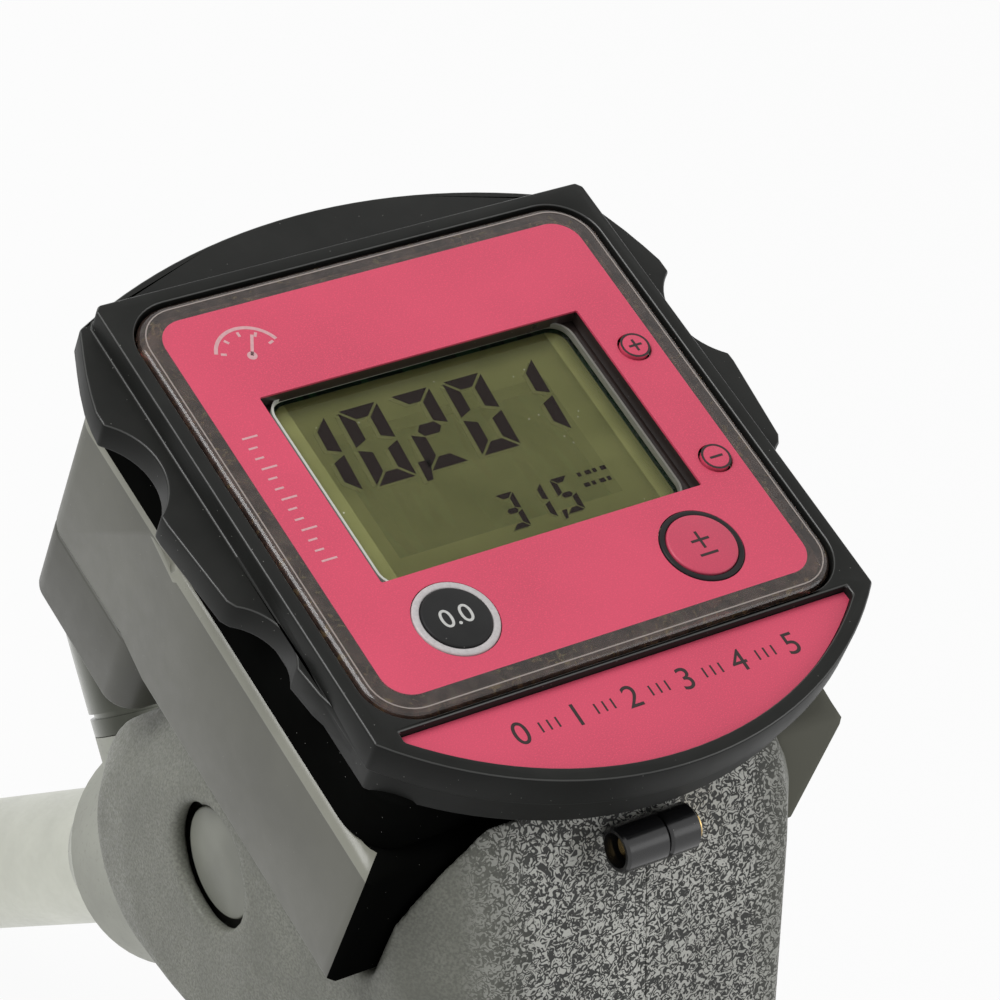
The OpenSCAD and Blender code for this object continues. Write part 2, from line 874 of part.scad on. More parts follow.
module body_casting() {
  low_h = valve_seat_z - valve_seat_t - valve_low_z;
  color(pale_alloy) difference() {
    union() {
      slab(deck_w, -deck_near, block_near - gap, housing_corner, housing_bottom - deck_t, deck_t);
      slab(far_deck_w, block_near + 2 * gap, far_deck_far, housing_corner, block_bottom - deck_t,
        deck_t);
      translate([0, body_y, body_z]) cross_cylinder(chest_r, chest_half);
      translate([0, plug_y, plug_z]) cross_cylinder(plug_boss_r, plug_half - plug_t);
      translate([0, valve_y, valve_bottom])
        cylinder(r = valve_body_r, h = housing_bottom - deck_t - valve_bottom);
      along_spout() translate([0, 0, neck_start]) cylinder(r = neck_r, h = neck_len - neck_start);
      cap_saddle();
      guard_boss();
      translate([0, riser_y, block_bottom - riser_len]) cylinder(r = riser_r, h = riser_len);
      translate([0, inlet_port_y, valve_top - riser_r])
        cylinder(r = riser_r, h = housing_bottom - valve_top + riser_r);
      handle_tube(handle_r, -handle_reach, valve_y);
      handle_tube(inlet_boss_r, -handle_reach, -handle_reach + inlet_boss_len);
      slab(guard_lug_w, guard_rear_screw_y - guard_lug_len / 2, guard_rear_screw_y + guard_lug_len / 2,
        latch_ear_t, guard_lug_z, handle_z - guard_lug_z);
      pivot_ears();
    }
    handle_tube(handle_bore, -handle_reach - cut, valve_y);
    handle_tube(inlet_r, -handle_reach - cut, -handle_reach + inlet_depth);
    translate([0, valve_y, valve_seat_z]) cylinder(r = valve_bore_r, h = valve_top - valve_seat_z);
    translate([0, valve_y, valve_low_z]) {
      cylinder(r = valve_low_r, h = low_h);
      cylinder(r = valve_seat_r, h = low_h + valve_seat_t + cut);
    }
    translate([0, valve_y, valve_bottom - cut]) {
      cylinder(r = stem_r + run, h = valve_low_z - valve_bottom + 2 * cut);
      cylinder(r = packing_r + gap, h = packing_in + cut);
    }
    translate([0, inlet_port_y, valve_top - port_r])
      cylinder(r = port_r, h = housing_bottom - valve_top + port_r + cut);
    translate([0, riser_y, block_bottom - riser_len]) cylinder(r = port_r, h = riser_len + cut);
    along_spout() {
      cylinder(r = neck_bore, h = neck_len + cut);
      translate([0, 0, neck_len - socket_len]) cylinder(r = spout_r + gap, h = socket_len + cut);
    }
    for (s = [-1, 1]) translate([s * (plug_half - plug_t - plug_thread / 2), plug_y, plug_z])
      cross_cylinder(plug_thread_r + run, plug_thread / 2 + gap);
    translate([0, pivot_y, pivot_z]) cross_cylinder(pivot_r + run, lever_w);
    front_screw() cylinder(r = guard_screw_r + run, h = guard_screw_len);
    rear_screw() cylinder(r = guard_screw_r + run, h = guard_screw_len);
  }
}

module pivot_ears() {
  for (s = [-1, 1]) translate([s * (lever_w / 2 + 2 * gap + ear_t / 2), pivot_y, pivot_z]) hull() {
    cross_cylinder(ear_r, ear_t / 2, $fn = hull_fn);
    translate([0, 0, ear_rise]) cross_cylinder(ear_r, ear_t / 2, $fn = hull_fn);
  }
}

module inlet_ring() {
  color(steel) translate([0, -handle_reach + inlet_boss_len, handle_z]) rotate([-90, 0, 0])
    difference() {
      cylinder(r = inlet_boss_r - ring_drop, h = ring_w);
      translate([0, 0, -cut]) cylinder(r = handle_r + gap, h = ring_w + 2 * cut);
    }
}

module grip_sleeve() {
  y0 = -handle_reach + inlet_boss_len + ring_w + gap;
  ribbed = cuff_y - y0 - grip_rib_start - grip_bare_end;
  color(rubber) difference() {
    union() {
      handle_tube(grip_r, y0, cuff_y - gap);
      for (i = [0 : floor(ribbed / grip_rib_pitch)])
        translate([0, y0 + grip_rib_start + i * grip_rib_pitch, handle_z])
        rotate([90, 0, 0]) cylinder(r = grip_r + grip_rib, h = grip_rib_w);
    }
    handle_tube(handle_r + gap, y0 - cut, cuff_y + cut);
  }
}

// Solid form of the cover, its faces moved in by inset
module cover_form(inset) {
  hull() {
    translate([0, body_y, body_z]) {
      cross_cylinder(front_r - inset, cover_half - cover_edge - inset, $fn = cover_fn);
      cross_cylinder(front_r - cover_edge - inset, cover_half - inset, $fn = cover_fn);
    }
    translate([0, lobe_y, lobe_z]) {
      cross_cylinder(lobe_r - inset, cover_half - cover_edge - inset, $fn = cover_fn);
      cross_cylinder(lobe_r - cover_edge - inset, cover_half - lobe_drop - inset, $fn = cover_fn);
    }
    translate([0, shoulder_y, shoulder_z]) {
      cross_cylinder(shoulder_r - inset, shoulder_half - inset, $fn = cover_fn);
      cross_cylinder(shoulder_out_r - inset, cover_half - cover_edge / 2 - inset, $fn = cover_fn);
    }
    translate([0, heel_y, heel_z]) {
      cross_cylinder(heel_r - inset, heel_half - inset, $fn = cover_fn);
      cross_cylinder(heel_out_r - inset, cover_half - cover_edge - inset, $fn = cover_fn);
    }
  }
  hull() {
    translate([0, heel_y, heel_z]) {
      cross_cylinder(heel_r - inset, heel_half - inset, $fn = cover_fn);
      cross_cylinder(heel_out_r - inset, cover_half - cover_edge - inset, $fn = cover_fn);
    }
    translate([0, cuff_y + cuff_len, handle_z]) rotate([90, 0, 0])
      cylinder(r = grip_r - inset, h = cuff_len + (inset > 0 ? cut : 0), $fn = cover_fn);
  }
}

// Room in the cover for the casting, the meter and the lever
module cover_room() {
  up = 4 * housing_h;
  slab(housing_w + 2 * cover_clear, -housing_near - cover_clear, 2 * housing_near, housing_corner,
    housing_bottom - cover_top_gap, up);
  slab(housing_w + 2 * cover_clear, block_near - cover_clear, 2 * housing_near, housing_corner,
    block_bottom - cover_clear, up);
  slab(deck_w + 2 * cover_clear, -deck_near - cover_clear, block_near, housing_corner,
    housing_bottom - deck_t - cover_clear, up);
  slab(far_deck_w + 2 * cover_clear, block_near - cover_clear, far_deck_far, housing_corner,
    block_bottom - deck_t - cover_clear, up);
  translate([0, riser_y, block_bottom - riser_len])
    cylinder(r = riser_r + cover_clear, h = riser_len);
  translate([0, plug_y, plug_z]) cross_cylinder(cover_window_r, 2 * cover_half);
  handle_tube(handle_r + gap, -handle_reach, valve_y);
  along_spout() cylinder(r = neck_r + neck_gap, h = neck_len);
  translate([0, valve_y, valve_bottom - heel_r])
    cylinder(r = valve_body_r + cover_clear, h = 2 * heel_r);
  translate([0, pivot_y, valve_bottom]) cube([2 * slot_half, slot_len, 2 * heel_r], center = true);
}

module cover_shell() {
  difference() {
    union() {
      cover_form(0);
      translate([(boss_right - boss_left) / 2, boss_y, boss_z])
        cross_cylinder(boss_r, (boss_left + boss_right) / 2);
    }
    difference() {
      cover_form(cover_wall);
      translate([0, boss_y, boss_z]) cross_cylinder(boss_r, boss_left + cut);
    }
    cover_room();
    translate([0, boss_y, boss_z]) cross_cylinder(boss_bore + run, 2 * boss_left);
    for (s = [[-1, boss_left], [1, boss_right]])
      translate([s[0] * s[1], boss_y, boss_z]) cross_cylinder(boss_counter_r + run, boss_counter);
  }
}

module cover_half_cut(s) {
  intersection() {
    cover_shell();
    translate([s > 0 ? seam : -seam - 2 * cover_half, -handle_reach, -2 * handle_reach])
      cube([2 * cover_half, 2 * handle_reach, 2 * handle_reach]);
  }
}

module cover_left() { color(dark_grey) cover_half_cut(-1); }
module cover_right() { color(dark_grey) cover_half_cut(1); }

module cover_screw() {
  color(brass) {
    translate([(boss_right - boss_left) / 2, boss_y, boss_z])
      cross_cylinder(boss_bore, (boss_left + boss_right) / 2 - boss_counter / 2);
    translate([boss_right - boss_counter / 2 + insert_proud / 2, boss_y, boss_z])
      cross_cylinder(boss_counter_r, boss_counter / 2 + insert_proud / 2);
  }
}

module side_plugs() {
  color(black) for (s = [-1, 1]) {
    translate([s * (plug_half - plug_t / 2), plug_y, plug_z]) cross_cylinder(plug_r, plug_t / 2);
    translate([s * (plug_half - plug_t - plug_thread / 2), plug_y, plug_z])
      cross_cylinder(plug_thread_r, plug_thread / 2);
  }
}

// Valve

module valve_stem() {
  tip = valve_stem_tip;
  color(steel) translate([0, valve_y, 0]) {
    translate([0, 0, tip + stem_r]) cylinder(r = stem_r, h = valve_seat_z - tip - stem_r);
    translate([0, 0, tip + stem_r]) sphere(stem_r);
    translate([0, 0, valve_seat_z + poppet_seal_t]) cylinder(r = poppet_r, h = poppet_t);
    translate([0, 0, valve_seat_z - cut]) cylinder(r = stem_r, h = poppet_seal_t + 2 * cut);
    translate([0, 0, valve_seat_z + poppet_seal_t + poppet_t])
      cylinder(r = guide_r, h = guide_h);
  }
}

module poppet_seal() {
  color(rubber) translate([0, valve_y, valve_seat_z]) difference() {
    cylinder(r = poppet_r - gap, h = poppet_seal_t);
    translate([0, 0, -cut]) cylinder(r = stem_r + gap, h = poppet_seal_t + 2 * cut);
  }
}

module valve_spring() {
  z0 = valve_seat_z + poppet_seal_t + poppet_t + gap;
  color(steel) translate([0, valve_y, z0])
    tube(spring_r, spring_wire, valve_top - z0 - gap);
}

module packing_nut() {
  color(brass) translate([0, valve_y, valve_bottom - packing_out]) difference() {
    union() {
      cylinder(r = packing_hex_r, h = packing_out, $fn = 6);
      cylinder(r = packing_r, h = packing_out + packing_in);
    }
    translate([0, 0, -cut]) cylinder(r = stem_r + run, h = packing_out + packing_in + 2 * cut);
  }
}

// Lever, guard and latch

module trigger_lever() {
  color(black) translate([0, pivot_y, pivot_z]) rotate([lever_drop, 0, 0]) difference() {
    union() {
      side_extrude(lever_w) polygon(band(lever_line, lever_t));
      cross_cylinder(pivot_boss_r, lever_w / 2);
    }
    cross_cylinder(pivot_r + run, lever_w);
  }
}

module pivot_pin() {
  color(steel) translate([0, pivot_y, pivot_z])
    cross_cylinder(pivot_r, lever_w / 2 + 3 * gap + ear_t);
}

// Local Z runs up the screw's axis from the guard's outer face
module front_screw() {
  along_spout() translate([0, guard_out + guard_t / 2, guard_boss_at]) rotate([90, 0, 0]) children();
}

module rear_screw() {
  translate([0, guard_rear_screw_y, guard_lug_mid - guard_t / 2]) children();
}

module lever_guard() {
  color(black) difference() {
    union() {
      side_extrude(guard_w) polygon(band(guard_line, guard_t));
      for (s = [-1, 1]) translate([s * (latch_w / 2 + 2 * gap + latch_ear_t / 2), latch_y, latch_z]) {
        cross_cylinder(latch_ear_r, latch_ear_t / 2);
        translate([0, 0, -latch_up / 2])
          cube([latch_ear_t, 2 * latch_ear_r, latch_up + gap], center = true);
      }
    }
    translate([0, latch_y, latch_z]) cross_cylinder(latch_pin_r + run, guard_w);
    front_screw() translate([0, 0, -cut]) cylinder(r = guard_screw_r + gap, h = guard_t + 2 * cut);
    rear_screw() translate([0, 0, -cut]) cylinder(r = guard_screw_r + gap, h = guard_t + 2 * cut);
  }
}

module guard_screw() {
  cylinder(r = guard_screw_r, h = guard_screw_len - gap);
  translate([0, 0, -guard_screw_head]) cylinder(r = guard_screw_head_r, h = guard_screw_head);
}

module guard_screws() {
  color(steel) {
    front_screw() guard_screw();
    rear_screw() guard_screw();
  }
}

module hold_open_latch() {
  tip = latch_len - latch_hook;
  color(steel) translate([0, latch_y, latch_z]) difference() {
    union() {
      cross_cylinder(latch_eye_r, latch_w / 2);
      side_extrude(latch_w) polygon([
        [0, -latch_t / 2], [latch_len, -latch_t / 2], [latch_len, latch_t],
        [tip, latch_t], [tip - latch_hook / 2, latch_t / 2], [0, latch_t / 2]
      ]);
    }
    cross_cylinder(latch_pin_r + run, latch_w);
  }
}

module latch_pin() {
  color(steel) translate([0, latch_y, latch_z])
    cross_cylinder(latch_pin_r, latch_w / 2 + 3 * gap + latch_ear_t);
}

// Shut-off cap

module shutoff_cap() {
  h = cap_top - cap_base;
  color(silver) along_cap() translate([0, 0, cap_base + gap]) rotate_extrude() polygon([
    [0, h], [0, h - cap_wall], [cap_r - cap_wall - cap_lip, h - cap_wall],
    [cap_r - cap_wall - cap_lip, 0], [cap_r, 0], [cap_r, cap_lip * 3],
    [cap_r - cap_groove, cap_lip * 3], [cap_r - cap_groove, cap_lip * 4], [cap_r, cap_lip * 4],
    [cap_r, h - cap_chamfer], [cap_r - cap_chamfer / 3, h - cap_chamfer / 3],
    [cap_r - cap_chamfer, h]
  ]);
}

module shutoff_diaphragm() {
  color(rubber) along_cap() translate([0, 0, cap_base + gap])
    cylinder(r = cap_r - cap_wall - cap_lip - gap, h = diaphragm_t);
}

module shutoff_spring() {
  color(steel) along_cap() translate([0, 0, cap_base + 2 * gap + diaphragm_t])
    tube(cap_spring_r, spring_wire, cap_top - cap_base - cap_wall - diaphragm_t - 2 * gap);
}

// Spout

module spout_nut() {
  color(steel) along_spout() translate([0, 0, neck_len]) difference() {
    cylinder(r = nut_r, h = nut_len);
    translate([0, 0, -cut]) cylinder(r = spout_r + gap, h = nut_len + 2 * cut);
    for (i = [0 : nut_grips - 1]) rotate(i * 360 / nut_grips)
      translate([nut_r + nut_grip_r / 2, 0, nut_grip_r]) cylinder(r = nut_grip_r, h = nut_len);
  }
}

module spout_collar() {
  color(steel) along_spout() translate([0, 0, neck_len + nut_len + gap]) difference() {
    cylinder(r = collar_r, h = collar_end - neck_len - nut_len);
    translate([0, 0, -cut]) cylinder(r = spout_r + run, h = collar_end);
  }
}

module spout_tube() {
  color(pale_alloy) along_spout() difference() {
    union() {
      translate([0, 0, neck_len - socket_len + gap])
        cylinder(r = spout_r, h = spout_reach - tip_len - neck_len + socket_len - gap);
      translate([0, 0, neck_len]) cylinder(r = spout_r - tip_step, h = spout_reach - neck_len);
    }
    cylinder(r = spout_r - spout_wall, h = spout_reach + cut);
    translate([0, 0, spout_reach - socket_len]) rotate([-90, 0, 0])
      cylinder(r = vac_hole_r, h = 2 * spout_r);
  }
}

module vacuum_tube() {
  color(steel) along_spout()
    translate([0, spout_r - spout_wall - vac_r - gap, neck_len - socket_len + gap])
      tube(vac_r, vac_wall, spout_reach - neck_len - socket_len / 2);
}

module placed() { translate(-inlet_at) children(); }

placed() display_bezel();
placed() turret();
placed() clear_case();
placed() upper_label();
placed() lower_label();
placed() display_glass();
placed() display_panel();
placed() circuit_board();
placed() battery_cells();
placed() reset_ring();
placed() reset_button();
placed() cal_ring();
placed() cal_button();
placed() plus_button();
placed() minus_button();
placed() head_screws();
placed() meter_housing();
placed() outlet_block();
placed() chamber_cover();
placed() chamber_seal();
placed() gear_left();
placed() gear_right();
placed() gear_magnets();
placed() gear_shafts();
placed() body_casting();
placed() cover_left();
placed() cover_right();
placed() cover_screw();
placed() side_plugs();
placed() grip_sleeve();
placed() inlet_ring();
placed() trigger_lever();
placed() pivot_pin();
placed() lever_guard();
placed() guard_screws();
placed() hold_open_latch();
placed() latch_pin();
placed() valve_stem();
placed() poppet_seal();
placed() valve_spring();
placed() packing_nut();
placed() shutoff_cap();
placed() shutoff_diaphragm();
placed() shutoff_spring();
placed() spout_nut();
placed() spout_collar();
placed() spout_tube();
placed() vacuum_tube();
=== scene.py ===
"""Looks of a metered fuel nozzle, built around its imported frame."""

import json
import math

import bmesh
import bpy
from bpy.props import FloatProperty, FloatVectorProperty, IntProperty, PointerProperty
from bpy.types import Operator, Panel, PropertyGroup
from mathutils import Matrix, Vector


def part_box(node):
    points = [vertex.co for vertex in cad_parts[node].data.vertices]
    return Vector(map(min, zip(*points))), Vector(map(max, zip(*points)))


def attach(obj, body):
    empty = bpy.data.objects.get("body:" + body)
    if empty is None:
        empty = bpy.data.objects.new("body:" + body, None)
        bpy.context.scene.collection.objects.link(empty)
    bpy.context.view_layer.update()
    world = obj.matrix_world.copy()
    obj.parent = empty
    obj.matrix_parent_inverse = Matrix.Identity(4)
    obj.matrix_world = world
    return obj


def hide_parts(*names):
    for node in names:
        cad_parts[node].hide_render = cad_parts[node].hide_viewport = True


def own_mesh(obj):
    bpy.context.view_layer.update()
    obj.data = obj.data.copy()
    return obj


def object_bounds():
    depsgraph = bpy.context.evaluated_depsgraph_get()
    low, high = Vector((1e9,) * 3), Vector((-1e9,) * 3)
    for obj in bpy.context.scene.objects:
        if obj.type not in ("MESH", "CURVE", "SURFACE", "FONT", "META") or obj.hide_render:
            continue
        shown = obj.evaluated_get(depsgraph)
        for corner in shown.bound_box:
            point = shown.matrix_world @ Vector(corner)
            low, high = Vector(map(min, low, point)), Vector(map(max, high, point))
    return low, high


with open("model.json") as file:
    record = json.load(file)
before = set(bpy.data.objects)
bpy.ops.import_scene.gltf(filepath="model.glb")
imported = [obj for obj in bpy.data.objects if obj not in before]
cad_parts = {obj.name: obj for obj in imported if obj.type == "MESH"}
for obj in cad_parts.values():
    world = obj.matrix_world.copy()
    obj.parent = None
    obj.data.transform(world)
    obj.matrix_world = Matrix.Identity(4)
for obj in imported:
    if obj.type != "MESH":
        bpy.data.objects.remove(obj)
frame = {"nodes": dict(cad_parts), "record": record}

bl_info = {
    "name": "Metered fuel nozzle",
    "version": (1, 0, 0),
    "blender": (4, 5, 0),
    "location": "View3D > Sidebar > Nozzle",
    "description": "Dresses the packed fuel nozzle and sets its studio",
    "category": "Object",
}

MM = 0.001
CAD_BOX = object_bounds()
NODE_BODY = {
    node: body
    for body, nodes in frame["record"]["behaviour"]["bodies"].items()
    for node in nodes
}
NODE_SLOT = {part["node"]: part["material_slot"] for part in frame["record"]["subparts"]}


def middle(node):
    low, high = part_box(node)
    return (low + high) / 2


def up(z):
    return Vector((0, 0, z))


def flat(x, y=None):
    """A step in plan, the same both ways if one length is given"""
    return Vector((x, x if y is None else y, 0))


def at(x, y):
    """A place in plan, in millimetres from the middle of the display"""
    return flat(DISPLAY.x + x * MM, DISPLAY.y + y * MM)


# The middle of the upper label's face, from which the head's print is placed
DISPLAY = middle("upper_label")
DISPLAY.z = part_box("upper_label")[1].z


# Settings


def length_of(name, description, millimetres):
    return FloatProperty(name=name, description=description, subtype="DISTANCE", default=millimetres * MM)


def angle_of(name, description, degrees):
    return FloatProperty(name=name, description=description, subtype="ANGLE", default=math.radians(degrees))


def amount_of(name, description, value):
    return FloatProperty(name=name, description=description, default=value)


def count_of(name, description, value, low, high):
    return IntProperty(name=name, description=description, default=value, min=low, max=high)


def colour_of(name, description, value):
    return FloatVectorProperty(name=name, description=description, subtype="COLOR", default=value)


class HeadSettings(PropertyGroup):
    """Sizes and colours of the display head"""

    label_colour: colour_of("Label", "Colour of both labels", (0.72, 0.076, 0.146))
    plastic_colour: colour_of("Plastic", "Colour of the black mouldings", (0.013, 0.0135, 0.0125))
    panel_colour: colour_of("Readout", "Colour of the readout's ground", (0.29, 0.295, 0.125))
    print_colour: colour_of("Print", "Colour of the pale print on the label", (0.72, 0.42, 0.44))
    ink_colour: colour_of("Ink", "Colour of dark print and lit segments", (0.03, 0.02, 0.02))
    edge_radius: length_of("Edge radius", "Rounding of the moulded edges", 0.45)
    print_height: length_of("Print height", "Height of printed marks", 0.03)
    case_corner: length_of("Case corner", "Corner of the clear case", 7.7)
    case_fillet: length_of("Case fillet", "Rounding of the case's rim", 1.3)
    case_wall: length_of("Case wall", "Side walls of the clear case", 1.8)
    case_top: length_of("Case top", "Thickness of the case's top", 2.6)
    plate_drop: length_of("Plate drop", "The bezel's plate below the label", 3.98)
    label_corner: length_of("Label corner", "Corner of the upper label", 4.5)
    window_width: length_of("Window width", "Opening over the readout", 57.4)
    window_height: length_of("Window height", "Opening over the readout", 37)
    window_corner: length_of("Window corner", "Corner of the opening", 0.5)
    glass_corner: length_of("Glass corner", "Corner of the readout's glass", 3.5)
    digit_height: length_of("Digit height", "Height of the large digits", 14.7)
    digit_stroke: length_of("Digit stroke", "Width of their segments", 2.15)
    digit_pitch: length_of("Digit pitch", "Distance from one to the next", 9.35)
    small_digit_height: length_of("Small digit height", "Height of the small digits", 6.7)
    small_digit_stroke: length_of("Small digit stroke", "Width of their segments", 0.95)
    small_digit_pitch: length_of("Small digit pitch", "Distance from one to the next", 4.9)
    reading: count_of("Reading", "Number in the large digits", 10201, 0, 99999)
    total: count_of("Total", "Number in the small digits", 315, 0, 999)


class BodySettings(PropertyGroup):
    """Sizes and colours of the meter, cover, handle and spout"""

    housing_colour: colour_of("Meter", "Colour of the meter housing", (0.12, 0.12, 0.1))
    cover_colour: colour_of("Cover", "Colour of the grain's high spots", (0.78, 0.78, 0.73))
    cover_shade: colour_of("Cover grooves", "Colour of the grain's low spots", (0.053, 0.054, 0.051))
    lobe_colour: colour_of("Cover sides", "Colour of the cover's sides and plugs", (0.215, 0.22, 0.187))
    alloy_colour: colour_of("Alloy", "Colour of the castings and the spout", (0.56, 0.57, 0.5))
    grain_size: length_of("Grain size", "Width of one wrinkle of the grain", 0.44)
    shell_grid: length_of("Shell grid", "Mesh size of the cover", 0.75)
    shell_smoothing: count_of("Shell smoothing", "Passes of smoothing over the cover", 14, 0, 60)
    seam_gap: length_of("Seam", "Gap between the cover halves", 0.16)
    boss_left: length_of("Boss left", "Reach of the screw boss", 7.7)
    boss_right: length_of("Boss right", "Reach of the screw boss", 5.5)
    boss_radius: length_of("Boss radius", "Radius of the screw boss", 3.6)
    boss_bore: length_of("Boss bore", "Bore of the screw boss", 1.75)
    plug_growth: length_of("Plug growth", "How far a side plug fills its gap", 0.9)
    wall_corner: length_of("Wall corner", "Corner of the meter's walls", 1.2)
    turret_inset: length_of("Turret inset", "How far its sides lie inside the solid", 3.6)
    coil_wire: length_of("Coil wire", "Radius of the valve spring's wire", 0.8)
    coil_turns: count_of("Coil turns", "Turns of the valve spring", 5, 2, 12)


class StageSettings(PropertyGroup):
    """Camera and studio light"""

    azimuth: angle_of("Azimuth", "Direction of view from above, from +Y towards +X", 47.65)
    elevation: angle_of("Elevation", "Height of the camera above the display plane", 46.8)
    roll: angle_of("Roll", "Turn of the camera about its line of sight", 21.95)
    distance: length_of("Distance", "Camera to display", 624.6)
    focal_length: amount_of("Focal length", "In millimetres", 153.25)
    world_strength: amount_of("World", "Strength of the surrounding light", 0.36)
    key_power: amount_of("Key light", "Power of the key light in watts", 9.0)
    fill_power: amount_of("Fill light", "Power of the fill light in watts", 2.2)


# Materials


class Nodes:
    """A node tree with short ways to fill it"""

    def __init__(self, tree):
        self.tree = tree
        tree.nodes.clear()

    def add(self, kind, sockets=None, **settings):
        node = self.tree.nodes.new("ShaderNode" + kind)
        for key, value in settings.items():
            setattr(node, key, value)
        for key, value in (sockets or {}).items():
            if isinstance(value, bpy.types.NodeSocket):
                self.tree.links.new(value, node.inputs[key])
            else:
                node.inputs[key].default_value = value
        return node

    def calc(self, operation, *values):
        return self.add("Math", dict(enumerate(values)), operation=operation).outputs[0]

    def ramp(self, value, low, high):
        """0 at low to 1 at high, and level beyond them"""
        return self.add("MapRange", {"Value": value, "From Min": low, "From Max": high}).outputs[0]

    def spread(self, value, low, high):
        """low where the value is 0, to high where it is 1"""
        return self.add("MapRange", {"Value": value, "To Min": low, "To Max": high}).outputs[0]

    def close(self, shader, output="OutputMaterial"):
        self.tree.links.new(shader.outputs[0], self.add(output).inputs["Surface"])


class Finish(Nodes):
    """One material, with its pattern read from the piece's own coordinates"""

    def __init__(self, name):
        self.material = bpy.data.materials.new(name)
        self.material.use_nodes = True
        super().__init__(self.material.node_tree)
        self.place = self.add("TexCoord").outputs["Object"]

    def axis(self, name, place=None):
        return self.add("SeparateXYZ", {"Vector": place or self.place}).outputs[name]

    def facing(self, name):
        """The outward direction's share along one axis"""
        return self.axis(name, self.add("TexCoord").outputs["Normal"])

    def stretched(self, scale):
        return self.add("Mapping", {"Vector": self.place, "Scale": scale}).outputs["Vector"]

    def noise(self, size, detail=2.0, distortion=0.0, place=None):
        """Noise whose marks are about size across, in millimetres as every pattern's size"""
        scale = 1 / (size * MM)
        sockets = {"Vector": place or self.place, "Scale": scale, "Detail": detail, "Distortion": distortion}
        return self.add("TexNoise", sockets).outputs["Fac"]

    def clouds(self, size, detail, low=0.3, high=0.7):
        return self.ramp(self.noise(size, detail), low, high)

    def blend(self, factor, first, second):
        mix = self.add("Mix", data_type="RGBA")
        for socket, value in ((0, factor), (6, first), (7, second)):
            if isinstance(value, bpy.types.NodeSocket):
                self.tree.links.new(value, mix.inputs[socket])
            else:
                mix.inputs[socket].default_value = value if socket == 0 else (*value[:3], 1)
        return mix.outputs[2]

    def mottled(self, factor, colour, dark, light):
        """Two shades of one colour, by a factor"""
        return self.blend(factor, shade(colour, dark), shade(colour, light))

    def specked(self, tint, size, share, colour):
        """Small round specks over a given share of the surface"""
        cells = self.add("TexVoronoi", {"Vector": self.place, "Scale": 1 / (size * MM)})
        return self.blend(self.ramp(cells.outputs["Distance"], share, share * 0.6), tint, colour)

    def bump(self, height, depth, below=None):
        sockets = {"Height": height, "Distance": depth, "Strength": 1.0}
        if below:
            sockets["Normal"] = below
        return self.add("Bump", sockets).outputs["Normal"]

    def grain(self, size, detail, depth, below=None):
        return self.bump(self.noise(size, detail), depth * MM, below)

    def finish(self, colour, roughness, normal, shine=0.5, **sockets):
        """Closes the material with one shader"""
        values = {"Base Color": colour, "Roughness": roughness, "Normal": normal, "Specular IOR Level": shine}
        values.update({key.replace("_", " "): value for key, value in sockets.items()})
        self.close(self.add("BsdfPrincipled", values))
        return self.material


def shade(colour, factor):
    return tuple(channel * factor for channel in colour[:3])


def moulded(name, colour, roughness=0.5, depth=0.008, film=0.1, shine=0.12):
    """Moulded plastic with a fine texture and a film of dust on its top faces, which also paints them lighter
    as light from above would
    """
    f = Finish(name)
    tint = f.mottled(f.clouds(14, 3, 0.35, 0.65), colour, 0.86, 1.16)
    # Dust and painted light: faces that look up are blended towards a pale grey
    looks_up = f.ramp(f.facing("Z"), 0.2, 0.95)
    dust_and_top_light = f.calc("MULTIPLY", looks_up, f.clouds(5, 5, 0.05, 0.95))
    tint = f.blend(f.calc("MULTIPLY", dust_and_top_light, film), tint, (0.17, 0.17, 0.155))
    tint = f.specked(tint, 1.6, 0.05, (0.3, 0.3, 0.28))
    rough = f.spread(f.noise(6, 4), roughness - 0.07, roughness + 0.09)
    return f.finish(tint, rough, f.grain(0.25, 2, depth), shine)


def label_film(name, colour):
    """Printed film, with painted glints: fine lighter specks that stand for its metallic sparkle"""
    f = Finish(name)
    tint = f.mottled(f.clouds(20, 2), colour, 0.94, 1.07)
    # Painted glints: small specks a fifth lighter than the film
    tint = f.blend(f.clouds(0.22, 2, 0.5, 0.72), tint, shade(colour, 1.2))
    return f.finish(tint, 0.42, f.grain(0.3, 1, 0.004))


def clear_plastic(name, colour):
    """Clear moulded plastic with a brown depth to it and faint flow marks"""
    f = Finish(name)
    tint = f.mottled(f.ramp(f.noise(3.2, 3, 0.6), 0.38, 0.62), colour, 1, 0.5)
    # Painted reflections: yellow patches standing for light refracted and mirrored inside the clear rim
    tint = f.blend(f.ramp(f.noise(1.6, 2, 1.2), 0.6, 0.68), tint, (0.85, 0.62, 0.35))
    haze = f.spread(f.noise(2.5, 3), 0.03, 0.14)
    return f.finish(tint, haze, f.grain(4, 1, 0.02), Transmission_Weight=0.9, IOR=1.49)


def window_plastic(name):
    """The thin window over the readout, with a faint soft reflection"""
    f = Finish(name)
    smudge = f.clouds(9, 3, 0.3, 0.8)
    clear = f.add("BsdfTransparent", {"Color": f.blend(smudge, (1, 1, 0.98), (0.93, 0.94, 0.9))})
    haze = f.spread(smudge, 0.06, 0.22)
    gloss = f.add("BsdfAnisotropic", {"Color": (0.35, 0.35, 0.33, 1), "Roughness": haze})
    f.close(f.add("MixShader", {0: 0.035, 1: clear.outputs[0], 2: gloss.outputs[0]}))
    return f.material


